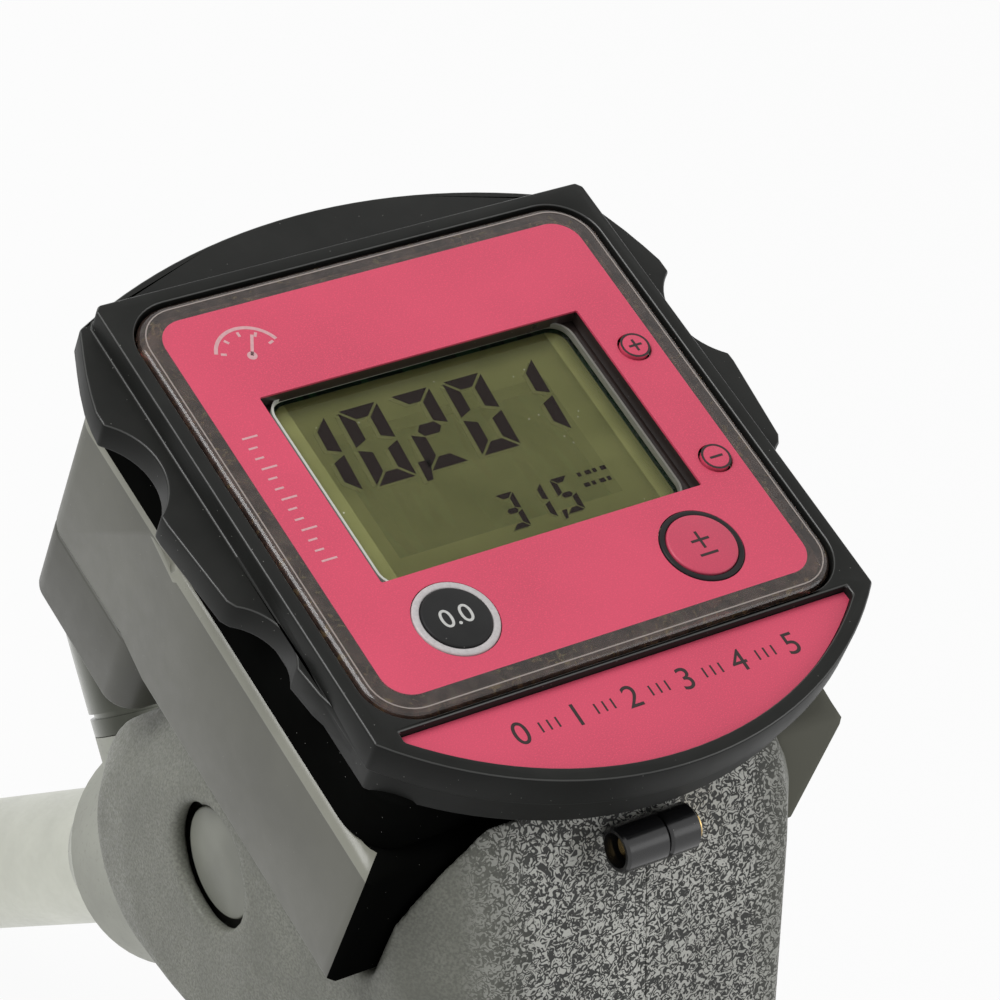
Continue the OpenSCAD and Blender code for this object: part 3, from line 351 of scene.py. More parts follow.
def readout_ground(name, colour, high):
    """The readout's reflector, darker along its shaded far and right sides"""
    f = Finish(name)
    shade_width, line = 4.5 * MM, 0.4 * MM
    tint = f.mottled(f.clouds(26, 2), colour, 0.9, 1.1)
    streaks = f.ramp(f.noise(7, 2, place=f.stretched((0.25, 1.6, 1))), 0.45, 0.75)
    tint = f.blend(streaks, tint, shade(colour, 1.12))
    tint = f.specked(tint, 3.1, 0.06, (0.8, 0.8, 0.7))
    right = f.ramp(f.axis("X"), high.x - shade_width, high.x - line)
    far = f.ramp(f.axis("Y"), high.y - shade_width, high.y - line)
    edge = f.calc("POWER", f.calc("MAXIMUM", right, far), 1.6)
    tint = f.blend(edge, tint, shade(colour, 0.5))
    return f.finish(tint, 0.6, f.grain(0.4, 2, 0.002), 0.0)


def glass_edge(name, middle_x, reach):
    """The pale ground edge of the readout's glass, with painted light: brighter on its left, darker on its
    right
    """
    f = Finish(name)
    # Painted light: the edge fades from pale at the left to dark at the right
    painted_light_from_left = f.ramp(f.axis("X"), middle_x - reach, middle_x + reach)
    tint = f.blend(painted_light_from_left, (0.8, 0.83, 0.75), (0.22, 0.22, 0.19))
    return f.finish(tint, 0.3, f.grain(0.6, 2, 0.01))


def ink(name, colour, roughness=0.5, shine=0.3):
    """Screen print, a little uneven"""
    f = Finish(name)
    tint = f.mottled(f.noise(0.5, 3), colour, 0.8, 1.25)
    return f.finish(tint, roughness, f.grain(0.3, 1, 0.003), shine)


def metal(name, colour, roughness, marks=(1, 1, 1), texture=0.6):
    """Worked metal: marks stretches its scratches along one axis"""
    f = Finish(name)
    lines = f.noise(texture, 4, place=f.stretched(marks))
    tint = f.mottled(f.clouds(18, 4), colour, 0.9, 1.06)
    rough = f.spread(lines, roughness * 0.7, roughness * 1.35)
    return f.finish(tint, rough, f.bump(lines, 0.003 * MM), Metallic=1.0)


def cast_alloy(name, colour):
    """Sand-cast and shot-blasted alloy"""
    f = Finish(name)
    pits = f.noise(0.9, 5)
    tint = f.mottled(f.clouds(16, 5, 0.3, 0.75), colour, 0.72, 1)
    tint = f.blend(f.ramp(pits, 0.42, 0.3), tint, shade(colour, 0.7))
    return f.finish(tint, 0.5, f.bump(pits, 0.02 * MM), Metallic=0.6)


def satin_paint(name, colour, roughness=0.42):
    """Satin paint with faint orange peel and patches worn by rubbing"""
    f = Finish(name)
    tint = f.mottled(f.clouds(22, 4), colour, 0.88, 1.14)
    tint = f.specked(tint, 1.9, 0.04, (0.3, 0.3, 0.27))
    rough = f.spread(f.noise(3, 4), roughness - 0.08, roughness + 0.08)
    peel = f.grain(1.1, 2, 0.012)
    return f.finish(tint, rough, f.grain(0.25, 2, 0.006, peel))


def near_wall(name, dark, lit):
    """The meter's top and near walls, with painted shade and light: near black under the bezel, and at the
    right the paint made lighter
    """
    f = Finish(name)
    tint = f.blend(f.ramp(f.axis("X"), 18 * MM, 31 * MM), dark, lit)
    tint = f.specked(tint, 1.7, 0.04, (0.2, 0.2, 0.18))
    return f.finish(tint, 0.45, f.grain(0.3, 2, 0.006), 0.0)


def polished(name, dark, pale, reflection_bands, turn):
    """Polished metal with painted reflections: upright bands of light and dark, set by the way each face
    turns about the upright axis
    """
    f = Finish(name)
    # Painted reflections: dark and pale bands round the upright axis stand for a mirrored studio
    angle = f.calc("ARCTAN2", f.facing("Y"), f.facing("X"))
    painted_reflection_band = f.ramp(f.calc("COSINE", f.calc("MULTIPLY_ADD", angle, reflection_bands, turn)), -0.95, 0.9)
    stained_painted_reflection = f.blend(painted_reflection_band, shade(dark, 1.4), shade(pale, 0.85))
    tint = f.blend(f.clouds(7, 4), f.blend(painted_reflection_band, dark, pale), stained_painted_reflection)
    rough = f.spread(f.noise(1.5, 4), 0.16, 0.3)
    return f.finish(tint, rough, f.grain(2, 2, 0.002), Metallic=1.0)


def wrinkle_grain(name, high, low, plain, size):
    """Moulded wrinkles, pale ridges over dark grooves, and a plain fine grain on the cover's sides"""
    f = Finish(name)
    size /= MM
    wave = f.calc("SINE", f.calc("MULTIPLY", f.noise(2.6 * size, 1.0, 1.1), math.tau * 3.4))
    ridge = f.ramp(wave, -0.35, 0.4)
    worms = f.blend(ridge, low, f.mottled(f.clouds(18, 3), high, 0.85, 1.12))
    specks = f.clouds(size, 3, 0.38, 0.62)
    fine = f.blend(specks, shade(plain, 0.72), f.mottled(f.clouds(9, 3), plain, 0.86, 1.12))
    aside = f.ramp(f.calc("ABSOLUTE", f.axis("X")), 19 * MM, 30 * MM)
    height = f.add("Mix", {0: aside, 2: ridge, 3: specks}).outputs[0]
    bumps = f.bump(height, f.spread(aside, 0.1 * MM, 0.025 * MM))
    return f.finish(f.blend(aside, worms, fine), f.spread(ridge, 0.6, 0.42), bumps, 0.4)


def rubber(name, colour):
    """Matt rubber with patches of bloom"""
    f = Finish(name)
    tint = f.mottled(f.clouds(12, 5, 0.45, 0.75), colour, 1, 1.9)
    return f.finish(tint, 0.68, f.grain(0.5, 3, 0.02), Sheen_Weight=0.15)


def board(name):
    """Circuit board lacquer over copper tracks"""
    f = Finish(name)
    tracks = f.ramp(f.noise(2.4, 0, place=f.stretched((1, 0.15, 1))), 0.5, 0.53)
    tint = f.blend(tracks, (0.01, 0.07, 0.03), (0.03, 0.16, 0.06))
    return f.finish(tint, 0.35, f.bump(tracks, 0.02 * MM))


# Building pieces


def linked(name, data):
    """A new object in the scene, at the origin"""
    thing = bpy.data.objects.new(name, data)
    bpy.context.scene.collection.objects.link(thing)
    return thing


def mesh_of(bm, name):
    mesh = bpy.data.meshes.new(name)
    bm.to_mesh(mesh)
    bm.free()
    return mesh


def seamed(bm, centre):
    """Merges coplanar faces, but keeps them apart along two planes, so that no face runs round a hole"""
    for normal in ((1, 0, 0), (0, 1, 0)):
        cut = bmesh.ops.bisect_plane(
            bm, geom=[*bm.verts, *bm.edges, *bm.faces], dist=0.001 * MM, plane_co=centre, plane_no=normal
        )
        for item in cut["geom_cut"]:
            if isinstance(item, bmesh.types.BMEdge):
                item.seam = True
    bmesh.ops.dissolve_limit(
        bm, angle_limit=math.radians(0.8), verts=bm.verts, edges=bm.edges, delimit={"SEAM"}
    )
    return bm


def joined(*nodes):
    """A mesh of one or more CAD nodes, with its loose triangles joined"""
    bm = bmesh.new()
    for node in nodes:
        bm.from_mesh(frame["nodes"][node].data)
    bmesh.ops.remove_doubles(bm, verts=bm.verts, dist=0.002 * MM)
    return bm


def merged(node):
    """A joined and cleaned copy of a CAD node's mesh"""
    return seamed(joined(node), middle(node))


def bevelled(bm, edges, width, segments):
    bmesh.ops.bevel(
        bm, geom=edges, offset=width, offset_type="OFFSET", segments=segments, profile=0.5,
        affect="EDGES", clamp_overlap=False, material=-1,
    )


def soften(bm, width, segments=2, sharp=38):
    """Rounds every edge sharper than the given angle in degrees"""
    bevelled(bm, [
        edge for edge in bm.edges
        if len(edge.link_faces) == 2 and edge.calc_face_angle() > math.radians(sharp)
    ], width, segments)


def tidy_normals(bm):
    bmesh.ops.remove_doubles(bm, verts=bm.verts, dist=0.001 * MM)
    bmesh.ops.recalc_face_normals(bm, faces=bm.faces)


def add_piece(name, bm, material, slot, body="nozzle", replaces=(), smooth_angle=32):
    """Makes an object of a bmesh, in place, and ties it to its body"""
    mesh = mesh_of(bm, name)
    mesh.polygons.foreach_set("use_smooth", [True] * len(mesh.polygons))
    mesh.set_sharp_from_angle(angle=math.radians(smooth_angle))
    mesh.materials.append(material)
    piece = linked(name, mesh)
    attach(piece, body)
    if replaces:
        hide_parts(*replaces)
    return piece


def printed(*settings):
    """A drawn piece, its faces all turned outward"""
    tidy_normals(settings[1])
    add_piece(*settings)


def dressed(node, bm, material, smooth_angle=32):
    """A new mesh in a CAD node's place"""
    return add_piece(node + "_formed", bm, material, NODE_SLOT[node], NODE_BODY[node], (node,), smooth_angle)


def rounded(node, material, width, segments=2):
    """A copy of a CAD node with its edges softened by a width in millimetres"""
    bm = merged(node)
    soften(bm, width * MM, segments)
    return dressed(node, bm, material)


def paint(material, *nodes):
    """Gives CAD nodes a material"""
    for node in nodes:
        data = frame["nodes"][node].data
        data.materials.clear()
        data.materials.append(material)


def faced(piece, material, wanted):
    """Gives the faces whose outward direction is wanted a material of their own"""
    piece.data.materials.append(material)
    for face in piece.data.polygons:
        if wanted(face.normal):
            face.material_index = len(piece.data.materials) - 1


def worked(bm, kind, **settings):
    """The mesh after one modifier"""
    mesh = mesh_of(bm, "work")
    work = linked("work", mesh)
    modifier = work.modifiers.new(kind, kind)
    for key, value in settings.items():
        setattr(modifier, key, value)
    bpy.context.view_layer.update()
    result = bmesh.new()
    result.from_object(work, bpy.context.evaluated_depsgraph_get())
    bpy.data.objects.remove(work)
    bpy.data.meshes.remove(mesh)
    return result


def carved(bm, tool, operation="DIFFERENCE"):
    """The first mesh cut by, or kept to, the second"""
    mesh = mesh_of(tool, "tool")
    cutter = linked("tool", mesh)
    result = worked(bm, "BOOLEAN", operation=operation, solver="EXACT", object=cutter)
    bpy.data.objects.remove(cutter)
    bpy.data.meshes.remove(mesh)
    if not result.faces:
        raise RuntimeError("a cut left nothing")
    return result


def block(low, high, radius=0.0, segments=8, bm=None):
    """A block between two corners, its upright edges rounded"""
    bm = bmesh.new() if bm is None else bm
    low, high = Vector(low), Vector(high)
    place = Matrix.Translation((low + high) / 2) @ Matrix.Diagonal((*(high - low), 1))
    made = set(bmesh.ops.create_cube(bm, size=1.0, matrix=place)["verts"])
    if radius:
        half = (high.z - low.z) / 2
        bevelled(bm, [
            edge for edge in bm.edges
            if edge.verts[0] in made and abs(edge.verts[0].co.z - edge.verts[1].co.z) > half
        ], radius, segments)
    return bm


def turned(profile, centre, axis, closed=True, segments=64):
    """A turned shape: the profile gives (place along the axis, radius)"""
    bm = bmesh.new()
    axis = Vector(axis).normalized()
    place = Matrix.Translation(centre) @ axis.to_track_quat("Z", "Y").to_matrix().to_4x4()
    verts = [bm.verts.new(place @ Vector((radius, 0, along))) for along, radius in profile]
    pairs = list(zip(verts, verts[1:]))
    if closed:
        pairs.append((verts[-1], verts[0]))
    edges = [bm.edges.new(pair) for pair in pairs]
    bmesh.ops.spin(bm, geom=edges, cent=centre, axis=axis, angle=math.tau, steps=segments, use_merge=True)
    bmesh.ops.remove_doubles(bm, verts=bm.verts, dist=0.0005 * MM)
    bmesh.ops.recalc_face_normals(bm, faces=bm.faces)
    return bm


def plate(bm, corners, height, thickness):
    """A flat tile with the given corners, its underside at a height"""
    face = bm.faces.new([bm.verts.new((x, y, height)) for x, y in corners])
    face.normal_update()
    if face.normal.z > 0:
        face.normal_flip()
    grown = bmesh.ops.extrude_face_region(bm, geom=[face])
    top = [item for item in grown["geom"] if isinstance(item, bmesh.types.BMVert)]
    bmesh.ops.translate(bm, verts=top, vec=up(thickness))
    return bm


def bar(bm, start, end, width, height, thickness):
    """A straight printed stroke, its width in millimetres"""
    start, end = Vector(start[:2]), Vector(end[:2])
    side = (end - start).normalized().orthogonal() * (width * MM) / 2
    plate(bm, [start + side, start - side, end - side, end + side], height, thickness)


def disc(bm, centre, radius, height, thickness, segments):
    bmesh.ops.create_cone(
        bm, cap_ends=True, segments=segments, radius1=radius, radius2=radius, depth=thickness,
        matrix=Matrix.Translation((centre[0], centre[1], height + thickness / 2)),
    )
    return bm


def flat_ring(bm, centre, inner, outer, height, thickness, segments, start=0.0, sweep=math.tau):
    """A flat ring or arc, spun from a short radial strip"""
    corners = [(inner, height), (outer, height), (outer, height + thickness), (inner, height + thickness)]
    turn = Matrix.Translation((centre[0], centre[1], 0)) @ Matrix.Rotation(start, 4, "Z")
    face = bm.faces.new([bm.verts.new(turn @ Vector((r, 0, z))) for r, z in corners])
    full = sweep == math.tau
    bmesh.ops.spin(
        bm, geom=[face, *face.edges, *face.verts], cent=(centre[0], centre[1], 0), axis=(0, 0, 1),
        angle=sweep, steps=segments, use_merge=full,
    )
    if full:
        closed_up = [face for face in bm.faces if len(face.verts) == 4 and face.calc_area() == 0]
        bmesh.ops.delete(bm, geom=closed_up, context="FACES_ONLY")


def text_mesh(bm, words, size, centre, height, thickness):
    """Plain figures, centred on a place"""
    curve = bpy.data.curves.new("figures", "FONT")
    curve.body = words
    curve.size = size
    curve.extrude = thickness / 2
    curve.align_x = "CENTER"
    curve.align_y = "CENTER"
    temp = linked("figures", curve)
    bpy.context.view_layer.update()
    mesh = bpy.data.meshes.new_from_object(temp.evaluated_get(bpy.context.evaluated_depsgraph_get()))
    bpy.data.objects.remove(temp)
    bpy.data.curves.remove(curve)
    mesh.transform(Matrix.Translation((centre[0], centre[1], height + thickness / 2)))
    bm.from_mesh(mesh)
    bpy.data.meshes.remove(mesh)


def coil(base, axis, radius, wire, length, turns):
    """A coil spring along an axis"""
    bm = bmesh.new()
    steps = 28
    place = Matrix.Translation(base) @ axis.to_track_quat("Z", "Y").to_matrix().to_4x4()
    bmesh.ops.create_circle(
        bm, cap_ends=False, segments=10, radius=wire,
        matrix=place @ Matrix.Translation((radius, 0, wire)) @ Matrix.Rotation(math.pi / 2, 4, "X"),
    )
    rise = (length - 2 * wire) / turns
    bmesh.ops.spin(
        bm, geom=bm.edges[:], cent=base, axis=axis, dvec=axis.normalized() * rise / steps,
        angle=math.tau * turns, steps=steps * turns,
    )
    bmesh.ops.holes_fill(bm, edges=[edge for edge in bm.edges if edge.is_boundary], sides=12)
    bmesh.ops.recalc_face_normals(bm, faces=bm.faces)
    return bm


# A digit's segments on a grid one wide and two tall: a to f clockwise from the top, g the middle
SEGMENTS = {
    "a": ((0, 2), (1, 2)), "b": ((1, 1), (1, 2)), "c": ((1, 0), (1, 1)), "d": ((0, 0), (1, 0)),
    "e": ((0, 0), (0, 1)), "f": ((0, 1), (0, 2)), "g": ((0, 1), (1, 1)),
}
LIT = ("abcdef", "bc", "abdeg", "abcdg", "bcfg", "acdfg", "acdefg", "abc", "abcdefg", "abcdfg")
DIGIT_WIDTH = 0.47  # of a digit's height
DIGIT_SLANT = 0.087
SEGMENT_GAP = 0.14  # of a segment's width
SEGMENT_HEIGHT = 0.02 * MM


def draw_digit(bm, digit, corner, tall, stroke, height):
    """Mitred segments, each outline set back from its neighbours by a small gap"""
    half, gap = stroke / 2, stroke * SEGMENT_GAP
    step = Vector((tall * DIGIT_WIDTH - stroke, (tall - stroke) / 2))
    centre = Vector((tall * DIGIT_WIDTH / 2, tall / 2))
    for name in LIT[int(digit)]:
        start, end = (Vector((half + x * step.x, half + y * step.y)) for x, y in SEGMENTS[name])
        along = (end - start).normalized()
        side = along.orthogonal() * half
        inward = side if (centre - start).dot(side) > 0 else -side
        shape = []
        for point, way in ((start, along), (end, -along)):
            at_corner = abs(way.x) > 0.5 or abs(point.y - centre.y) > tall / 4
            back, on = (half, half) if at_corner else (0, half * 0.9)
            if name == "g":
                ends = [point + way * half - side, point + way * gap, point + way * half + side]
            else:
                ends = [point + way * (gap - back) - inward, point + way * (gap + on) + inward]
            shape += ends if way == along else reversed(ends)
        plate(bm, [(corner[0] + p.x + DIGIT_SLANT * p.y, corner[1] + p.y) for p in shape],
              height, SEGMENT_HEIGHT)


class PieceOperator:
    """What every operator of this file shares"""

    bl_options = {"REGISTER", "UNDO"}

    @property
    def head(self):
        return bpy.context.scene.nozzle_head

    @property
    def body(self):
        return bpy.context.scene.nozzle_body


class NOZZLE_OT_housing_head(PieceOperator, Operator):
    """Rounds and finishes the scalloped bezel and the turret under it"""

    bl_idname = "nozzle.housing_head"
    bl_label = "Bezel and turret"

    # A far corner of the plate, in millimetres from the middle of the display, and beyond it
    plate_corner = (
        (45, 44.6), (45.6, 42.9), (46.4, 40.9), (47.6, 38), (48.9, 34.6), (50.1, 30.8), (50.7, 27.4),
        (60, 27), (60, 60), (45, 60),
    )

    def bezel(self):
        """The bezel with its plate's far corners rounded off"""
        bezel = merged("display_bezel")
        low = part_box("display_bezel")[0].z - MM
        top = DISPLAY.z - self.head.plate_drop
        for side in (-1, 1):
            tool = plate(bmesh.new(), [at(side * x, y).xy for x, y in self.plate_corner], low, top - low)
            tidy_normals(tool)
            bezel = carved(bezel, tool)
        bezel = seamed(bezel, middle("display_bezel"))
        beside, beyond = 40 * MM, DISPLAY.y + 24 * MM
        trimmed = [vert for vert in bezel.verts if abs(vert.co.x) > beside and vert.co.y > beyond]
        bmesh.ops.remove_doubles(bezel, verts=trimmed, dist=0.7 * MM)
        bmesh.ops.dissolve_degenerate(bezel, dist=0.05 * MM, edges=bezel.edges)
        soften(bezel, self.head.edge_radius, 3)
        return bezel

    def turret(self):
        """The turret with its sides drawn in"""
        turret = merged("turret")
        inner, outer = 30 * MM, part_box("turret")[1].x
        for vert in turret.verts:
            beyond = abs(vert.co.x) - inner
            if beyond > 0:
                kept = inner + beyond * (outer - self.body.turret_inset - inner) / (outer - inner)
                vert.co.x = math.copysign(kept, vert.co.x)
        soften(turret, self.head.edge_radius)
        return turret

    def execute(self, context):
        plastic = self.head.plastic_colour
        black = moulded("bezel plastic", plastic, 0.45, film=0.05)
        # Painted highlight: the bezel's upward-tilted edges get a plastic 2.2 times as light
        bezel_edge_highlight = moulded("bezel edge highlight", shade(plastic, 2.2), 0.3, film=0.12, shine=0.5)
        # Painted shade: the turret under the bezel gets a plastic a third as light as the bezel's
        deep = moulded("side plastic in painted shade", shade(plastic, 0.35), 0.42, film=0.02, shine=0.0)
        bezel = dressed("display_bezel", self.bezel(), black)
        faced(bezel, bezel_edge_highlight, lambda normal: 0.35 < normal.z < 0.9)
        dressed("turret", self.turret(), deep)
        paint(board("circuit board"), "circuit_board")
        paint(metal("cell steel", (0.6, 0.6, 0.62), 0.3, (0.1, 1, 1)), "battery_cells")
        paint(metal("screw steel", (0.5, 0.5, 0.52), 0.35), "head_screws")
        return {"FINISHED"}


class NOZZLE_OT_label_case(PieceOperator, Operator):
    """Finishes the clear case, both labels and the marks printed on them"""

    bl_idname = "nozzle.label_case"
    bl_label = "Clear case and labels"

    def case(self, head):
        """The clear case: a filleted tray, hollow below, open at the readout and the keys"""
        low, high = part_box("clear_case")
        bm = block(low, high, head.case_corner, 10)
        rim = [edge for edge in bm.edges if all(vert.co.z > high.z - 0.1 * MM for vert in edge.verts)]
        bevelled(bm, rim, head.case_fillet, 4)
        wall = flat(head.case_wall)
        bm = carved(bm, block(
            low + wall - up(MM), high - wall - up(head.case_top), head.case_corner - wall.x))
        label_low, label_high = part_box("upper_label")
        bm = carved(bm, block(label_low, label_high + up(MM), head.label_corner))
        centre = flat(DISPLAY.x, middle("display_glass").y)
        opening = flat(head.window_width / 2, head.window_height / 2)
        bm = carved(bm, block(
            centre - opening + up(low.z - MM), centre + opening + up(high.z + MM), head.window_corner, 3))
        for node in ("reset_button", "cal_button", "plus_button", "minus_button", "reset_ring", "cal_ring"):
            node_low, node_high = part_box(node)
            radius = (node_high.x - node_low.x) / 2 + 0.05 * MM
            if node.endswith("ring"):
                start, depth = node_low.z, 5 * MM
            else:
                start, depth = low.z - MM, high.z - low.z + 2 * MM
            bm = carved(bm, disc(bmesh.new(), middle(node), radius, start, depth, 64))
        return bm

    def ridge(self, head):
        """A fine raised line round the top of the case's rim, pale and glossy: a painted highlight"""
        low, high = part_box("clear_case")
        inset, line, lift = flat(head.case_fillet * 0.9), flat(0.2 * MM), up(0.05 * MM)
        low = Vector((low.x, low.y, high.z))
        corner = head.case_corner - inset.x
        bm = block(low + inset - lift, high - inset + lift, corner, 10)
        return carved(bm, block(
            low + inset + line - lift * 3, high - inset - line + lift * 3, corner - line.x, 10))

    def gauge(self, thin):
        """A plain dial mark: an arc, its ticks and a needle"""
        bm = bmesh.new()
        hub = at(-25.5, 27)
        start, sweep, ticks, needle = 20, 140, 5, 62
        flat_ring(bm, hub, 5.2 * MM, 5.8 * MM, DISPLAY.z, thin, 40, math.radians(start), math.radians(sweep))

        def ray(degrees):
            return flat(math.cos(math.radians(degrees)), math.sin(math.radians(degrees)))

        for step in range(ticks):
            way = ray(start + sweep / (ticks - 1) * step)
            bar(bm, hub + way * 3.9 * MM, hub + way * 4.8 * MM, 0.45, DISPLAY.z, thin)
        bar(bm, hub, hub + ray(needle) * 4.2 * MM, 0.5, DISPLAY.z, thin)
        return disc(bm, hub, 0.8 * MM, DISPLAY.z, thin, 24)

    def side_scale(self, thin):
        """Tick marks down the label's left side, every third one long"""
        bm = bmesh.new()
        x, first, pitch, count = -35, 13, 2, 13
        for step in range(count):
            y = first - pitch * step
            reach = 1.5 if step % 3 else 2.6
            bar(bm, at(x, y), at(x + reach, y), 0.35, DISPLAY.z, thin)
        return bm

    def lower_scale(self, thin):
        """The figures 0 to 5 along the lower label, with three ticks between each two"""
        bm = bmesh.new()
        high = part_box("lower_label")[1]
        first, pitch, count = -22, 9.6, 6
        for step in range(count):
            x = first + pitch * step
            text_mesh(bm, str(step), 5.6 * MM, at(x, -47.2), high.z, thin)
            for share in (0.35, 0.5, 0.65) if step < count - 1 else ():
                mark = at(first + pitch * (step + share), 0).x
                bar(bm, (mark, high.y - 4.6 * MM), (mark, high.y - 6.4 * MM), 0.3, high.z, thin)
        return bm

    def execute(self, context):
        head = self.head
        dressed("clear_case", self.case(head), clear_plastic("clear case", (0.55, 0.38, 0.32)))
        # Painted highlight: a pale ring standing for the light on the rim's rounded edge
        brown = ink("case rim highlight", (0.34, 0.29, 0.26), 0.2, 0.8)
        add_piece("case_rim_highlight", self.ridge(head), brown, "case_clear")
        paint(label_film("label film", head.label_colour), "upper_label", "lower_label")
        pale = ink("pale print", head.print_colour)
        dark = ink("dark print", head.ink_colour)
        for name, draw, tint in (
            ("gauge_mark", self.gauge, pale),
            ("side_scale", self.side_scale, pale),
            ("lower_scale", self.lower_scale, dark),
        ):
            printed(name, draw(head.print_height), tint, "label_crimson")
        return {"FINISHED"}


class NOZZLE_OT_readout(PieceOperator, Operator):
    """Finishes the readout: its ground, glass edge, lit digits and their soft shadows"""

    bl_idname = "nozzle.readout"
    bl_label = "Readout"

    point_place = 2  # digits before the decimal point

    def outline(self, low, high):
        """The pale ground edge round the glass, with painted light brighter on its left"""
        edge = flat(0.38 * MM)
        corner = self.head.glass_corner
        top = high.z
        bm = block((low.x, low.y, top - 0.3 * MM), (high.x, high.y, top + 0.7 * MM), corner)
        return carved(bm, block(
            Vector((low.x, low.y, top - MM)) + edge, Vector((high.x, high.y, top + 2 * MM)) - edge,
            corner - edge.x))

    def walls(self, spot, reach, bottom):
        """Dark thin sheets on the opening's far and right walls only: painted shade"""
        sheet = 0.12 * MM
        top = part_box("upper_label")[0].z - 0.05 * MM
        left, right = spot.x - reach.x, spot.x + reach.x
        near, far = spot.y - reach.y, spot.y + reach.y
        bm = block((left, far - sheet, bottom), (right, far, top))
        return block((right - sheet, near, bottom), (right, far - sheet, top), bm=bm)

    def mask(self, low, high, spot, reach, bottom):
        """The dark frame between the opening and the glass"""
        margin, gap = flat(MM), flat(0.03 * MM)
        bm = block(spot - reach - margin + up(bottom - spot.z - 0.6 * MM),
                   spot + reach + margin + up(bottom - spot.z - 0.35 * MM))
        panel_low, panel_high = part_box("display_panel")
        return carved(bm, block(
            Vector((low.x, low.y, panel_low.z)) - gap, Vector((high.x, high.y, panel_high.z + 5 * MM)) + gap,
            self.head.glass_corner))

    def signal_bars(self, height):
        """Two rows of short bars beside the small digits"""
        bm = bmesh.new()
        for row in range(2):
            y = -7.2 - 2.1 * row
            for part in range(4):
                x = 13.2 + 1.4 * part
                reach = 0.65 if row == part % 2 else 1.0
                bar(bm, at(x, y), at(x + reach, y), 0.75, height, SEGMENT_HEIGHT)
        return bm

    def digits(self, bm, words, tall, stroke, pitch, corner, height):
        """A row of digits with its decimal point"""
        for place, digit in enumerate(words):
            draw_digit(bm, digit, (corner.x + place * pitch, corner.y), tall, stroke, height)
        x = corner.x + self.point_place * pitch - 0.26 * (pitch - tall * DIGIT_WIDTH) - stroke * 0.2
        point = ((0, 1), (1, 1), (0.3, -0.7), (-0.2, -0.7))
        plate(bm, [(x + stroke * a, corner.y + stroke * b) for a, b in point], height, SEGMENT_HEIGHT)

    def execute(self, context):
        head = self.head
        low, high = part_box("display_glass")
        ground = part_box("display_panel")[1]
        spot = (low + high) / 2
        reach = flat(head.window_width / 2 - 0.02 * MM, head.window_height / 2 - 0.02 * MM)
        bottom = high.z + 0.05 * MM
        paint(window_plastic("window plastic"), "display_glass")
        paint(readout_ground("readout ground", head.panel_colour, ground), "display_panel")
        lit = ink("lit segments", shade(head.ink_colour, 0.7), 0.6, 0.0)
        cast = ink("segment shadows", shade(head.panel_colour, 0.5), 0.6, 0.0)
        bright = glass_edge("glass edge", spot.x, high.x - spot.x)
        add_piece("glass_outline", self.outline(low, high), bright, "lens")
        # Painted shade: dark brown sheets stand for the shade on the opening's far and right walls
        brown = moulded("window wall painted shade", (0.028, 0.019, 0.017), 0.3, film=0, shine=0.8)
        add_piece("window_shade_sheets", self.walls(spot, reach, bottom), brown, "case_clear")
        brown = moulded("window mask", (0.03, 0.02, 0.018), 0.35, film=0, shine=0.6)
        add_piece("window_mask", self.mask(low, high, spot, reach, bottom), brown, "case_clear")
        print_lift, shadow_lift = 0.05 * MM, 0.01 * MM
        printed("signal_bars", self.signal_bars(ground.z + print_lift), lit, "panel_olive")
        for name, material, lift, x, y in (
            ("shadow", cast, shadow_lift, -0.75, -0.35), ("lit", lit, print_lift, 0, 0)
        ):
            bm = bmesh.new()
            height = ground.z + lift
            self.digits(bm, f"{head.reading:05d}", head.digit_height, head.digit_stroke, head.digit_pitch,
                        at(x - 27, y + 0.8), height)
            self.digits(bm, f"{head.total:03d}", head.small_digit_height, head.small_digit_stroke,
                        head.small_digit_pitch, at(x / 2 - 2, y / 2 - 13.3), height)
            printed(name + "_digits", bm, material, "panel_olive")
        return {"FINISHED"}


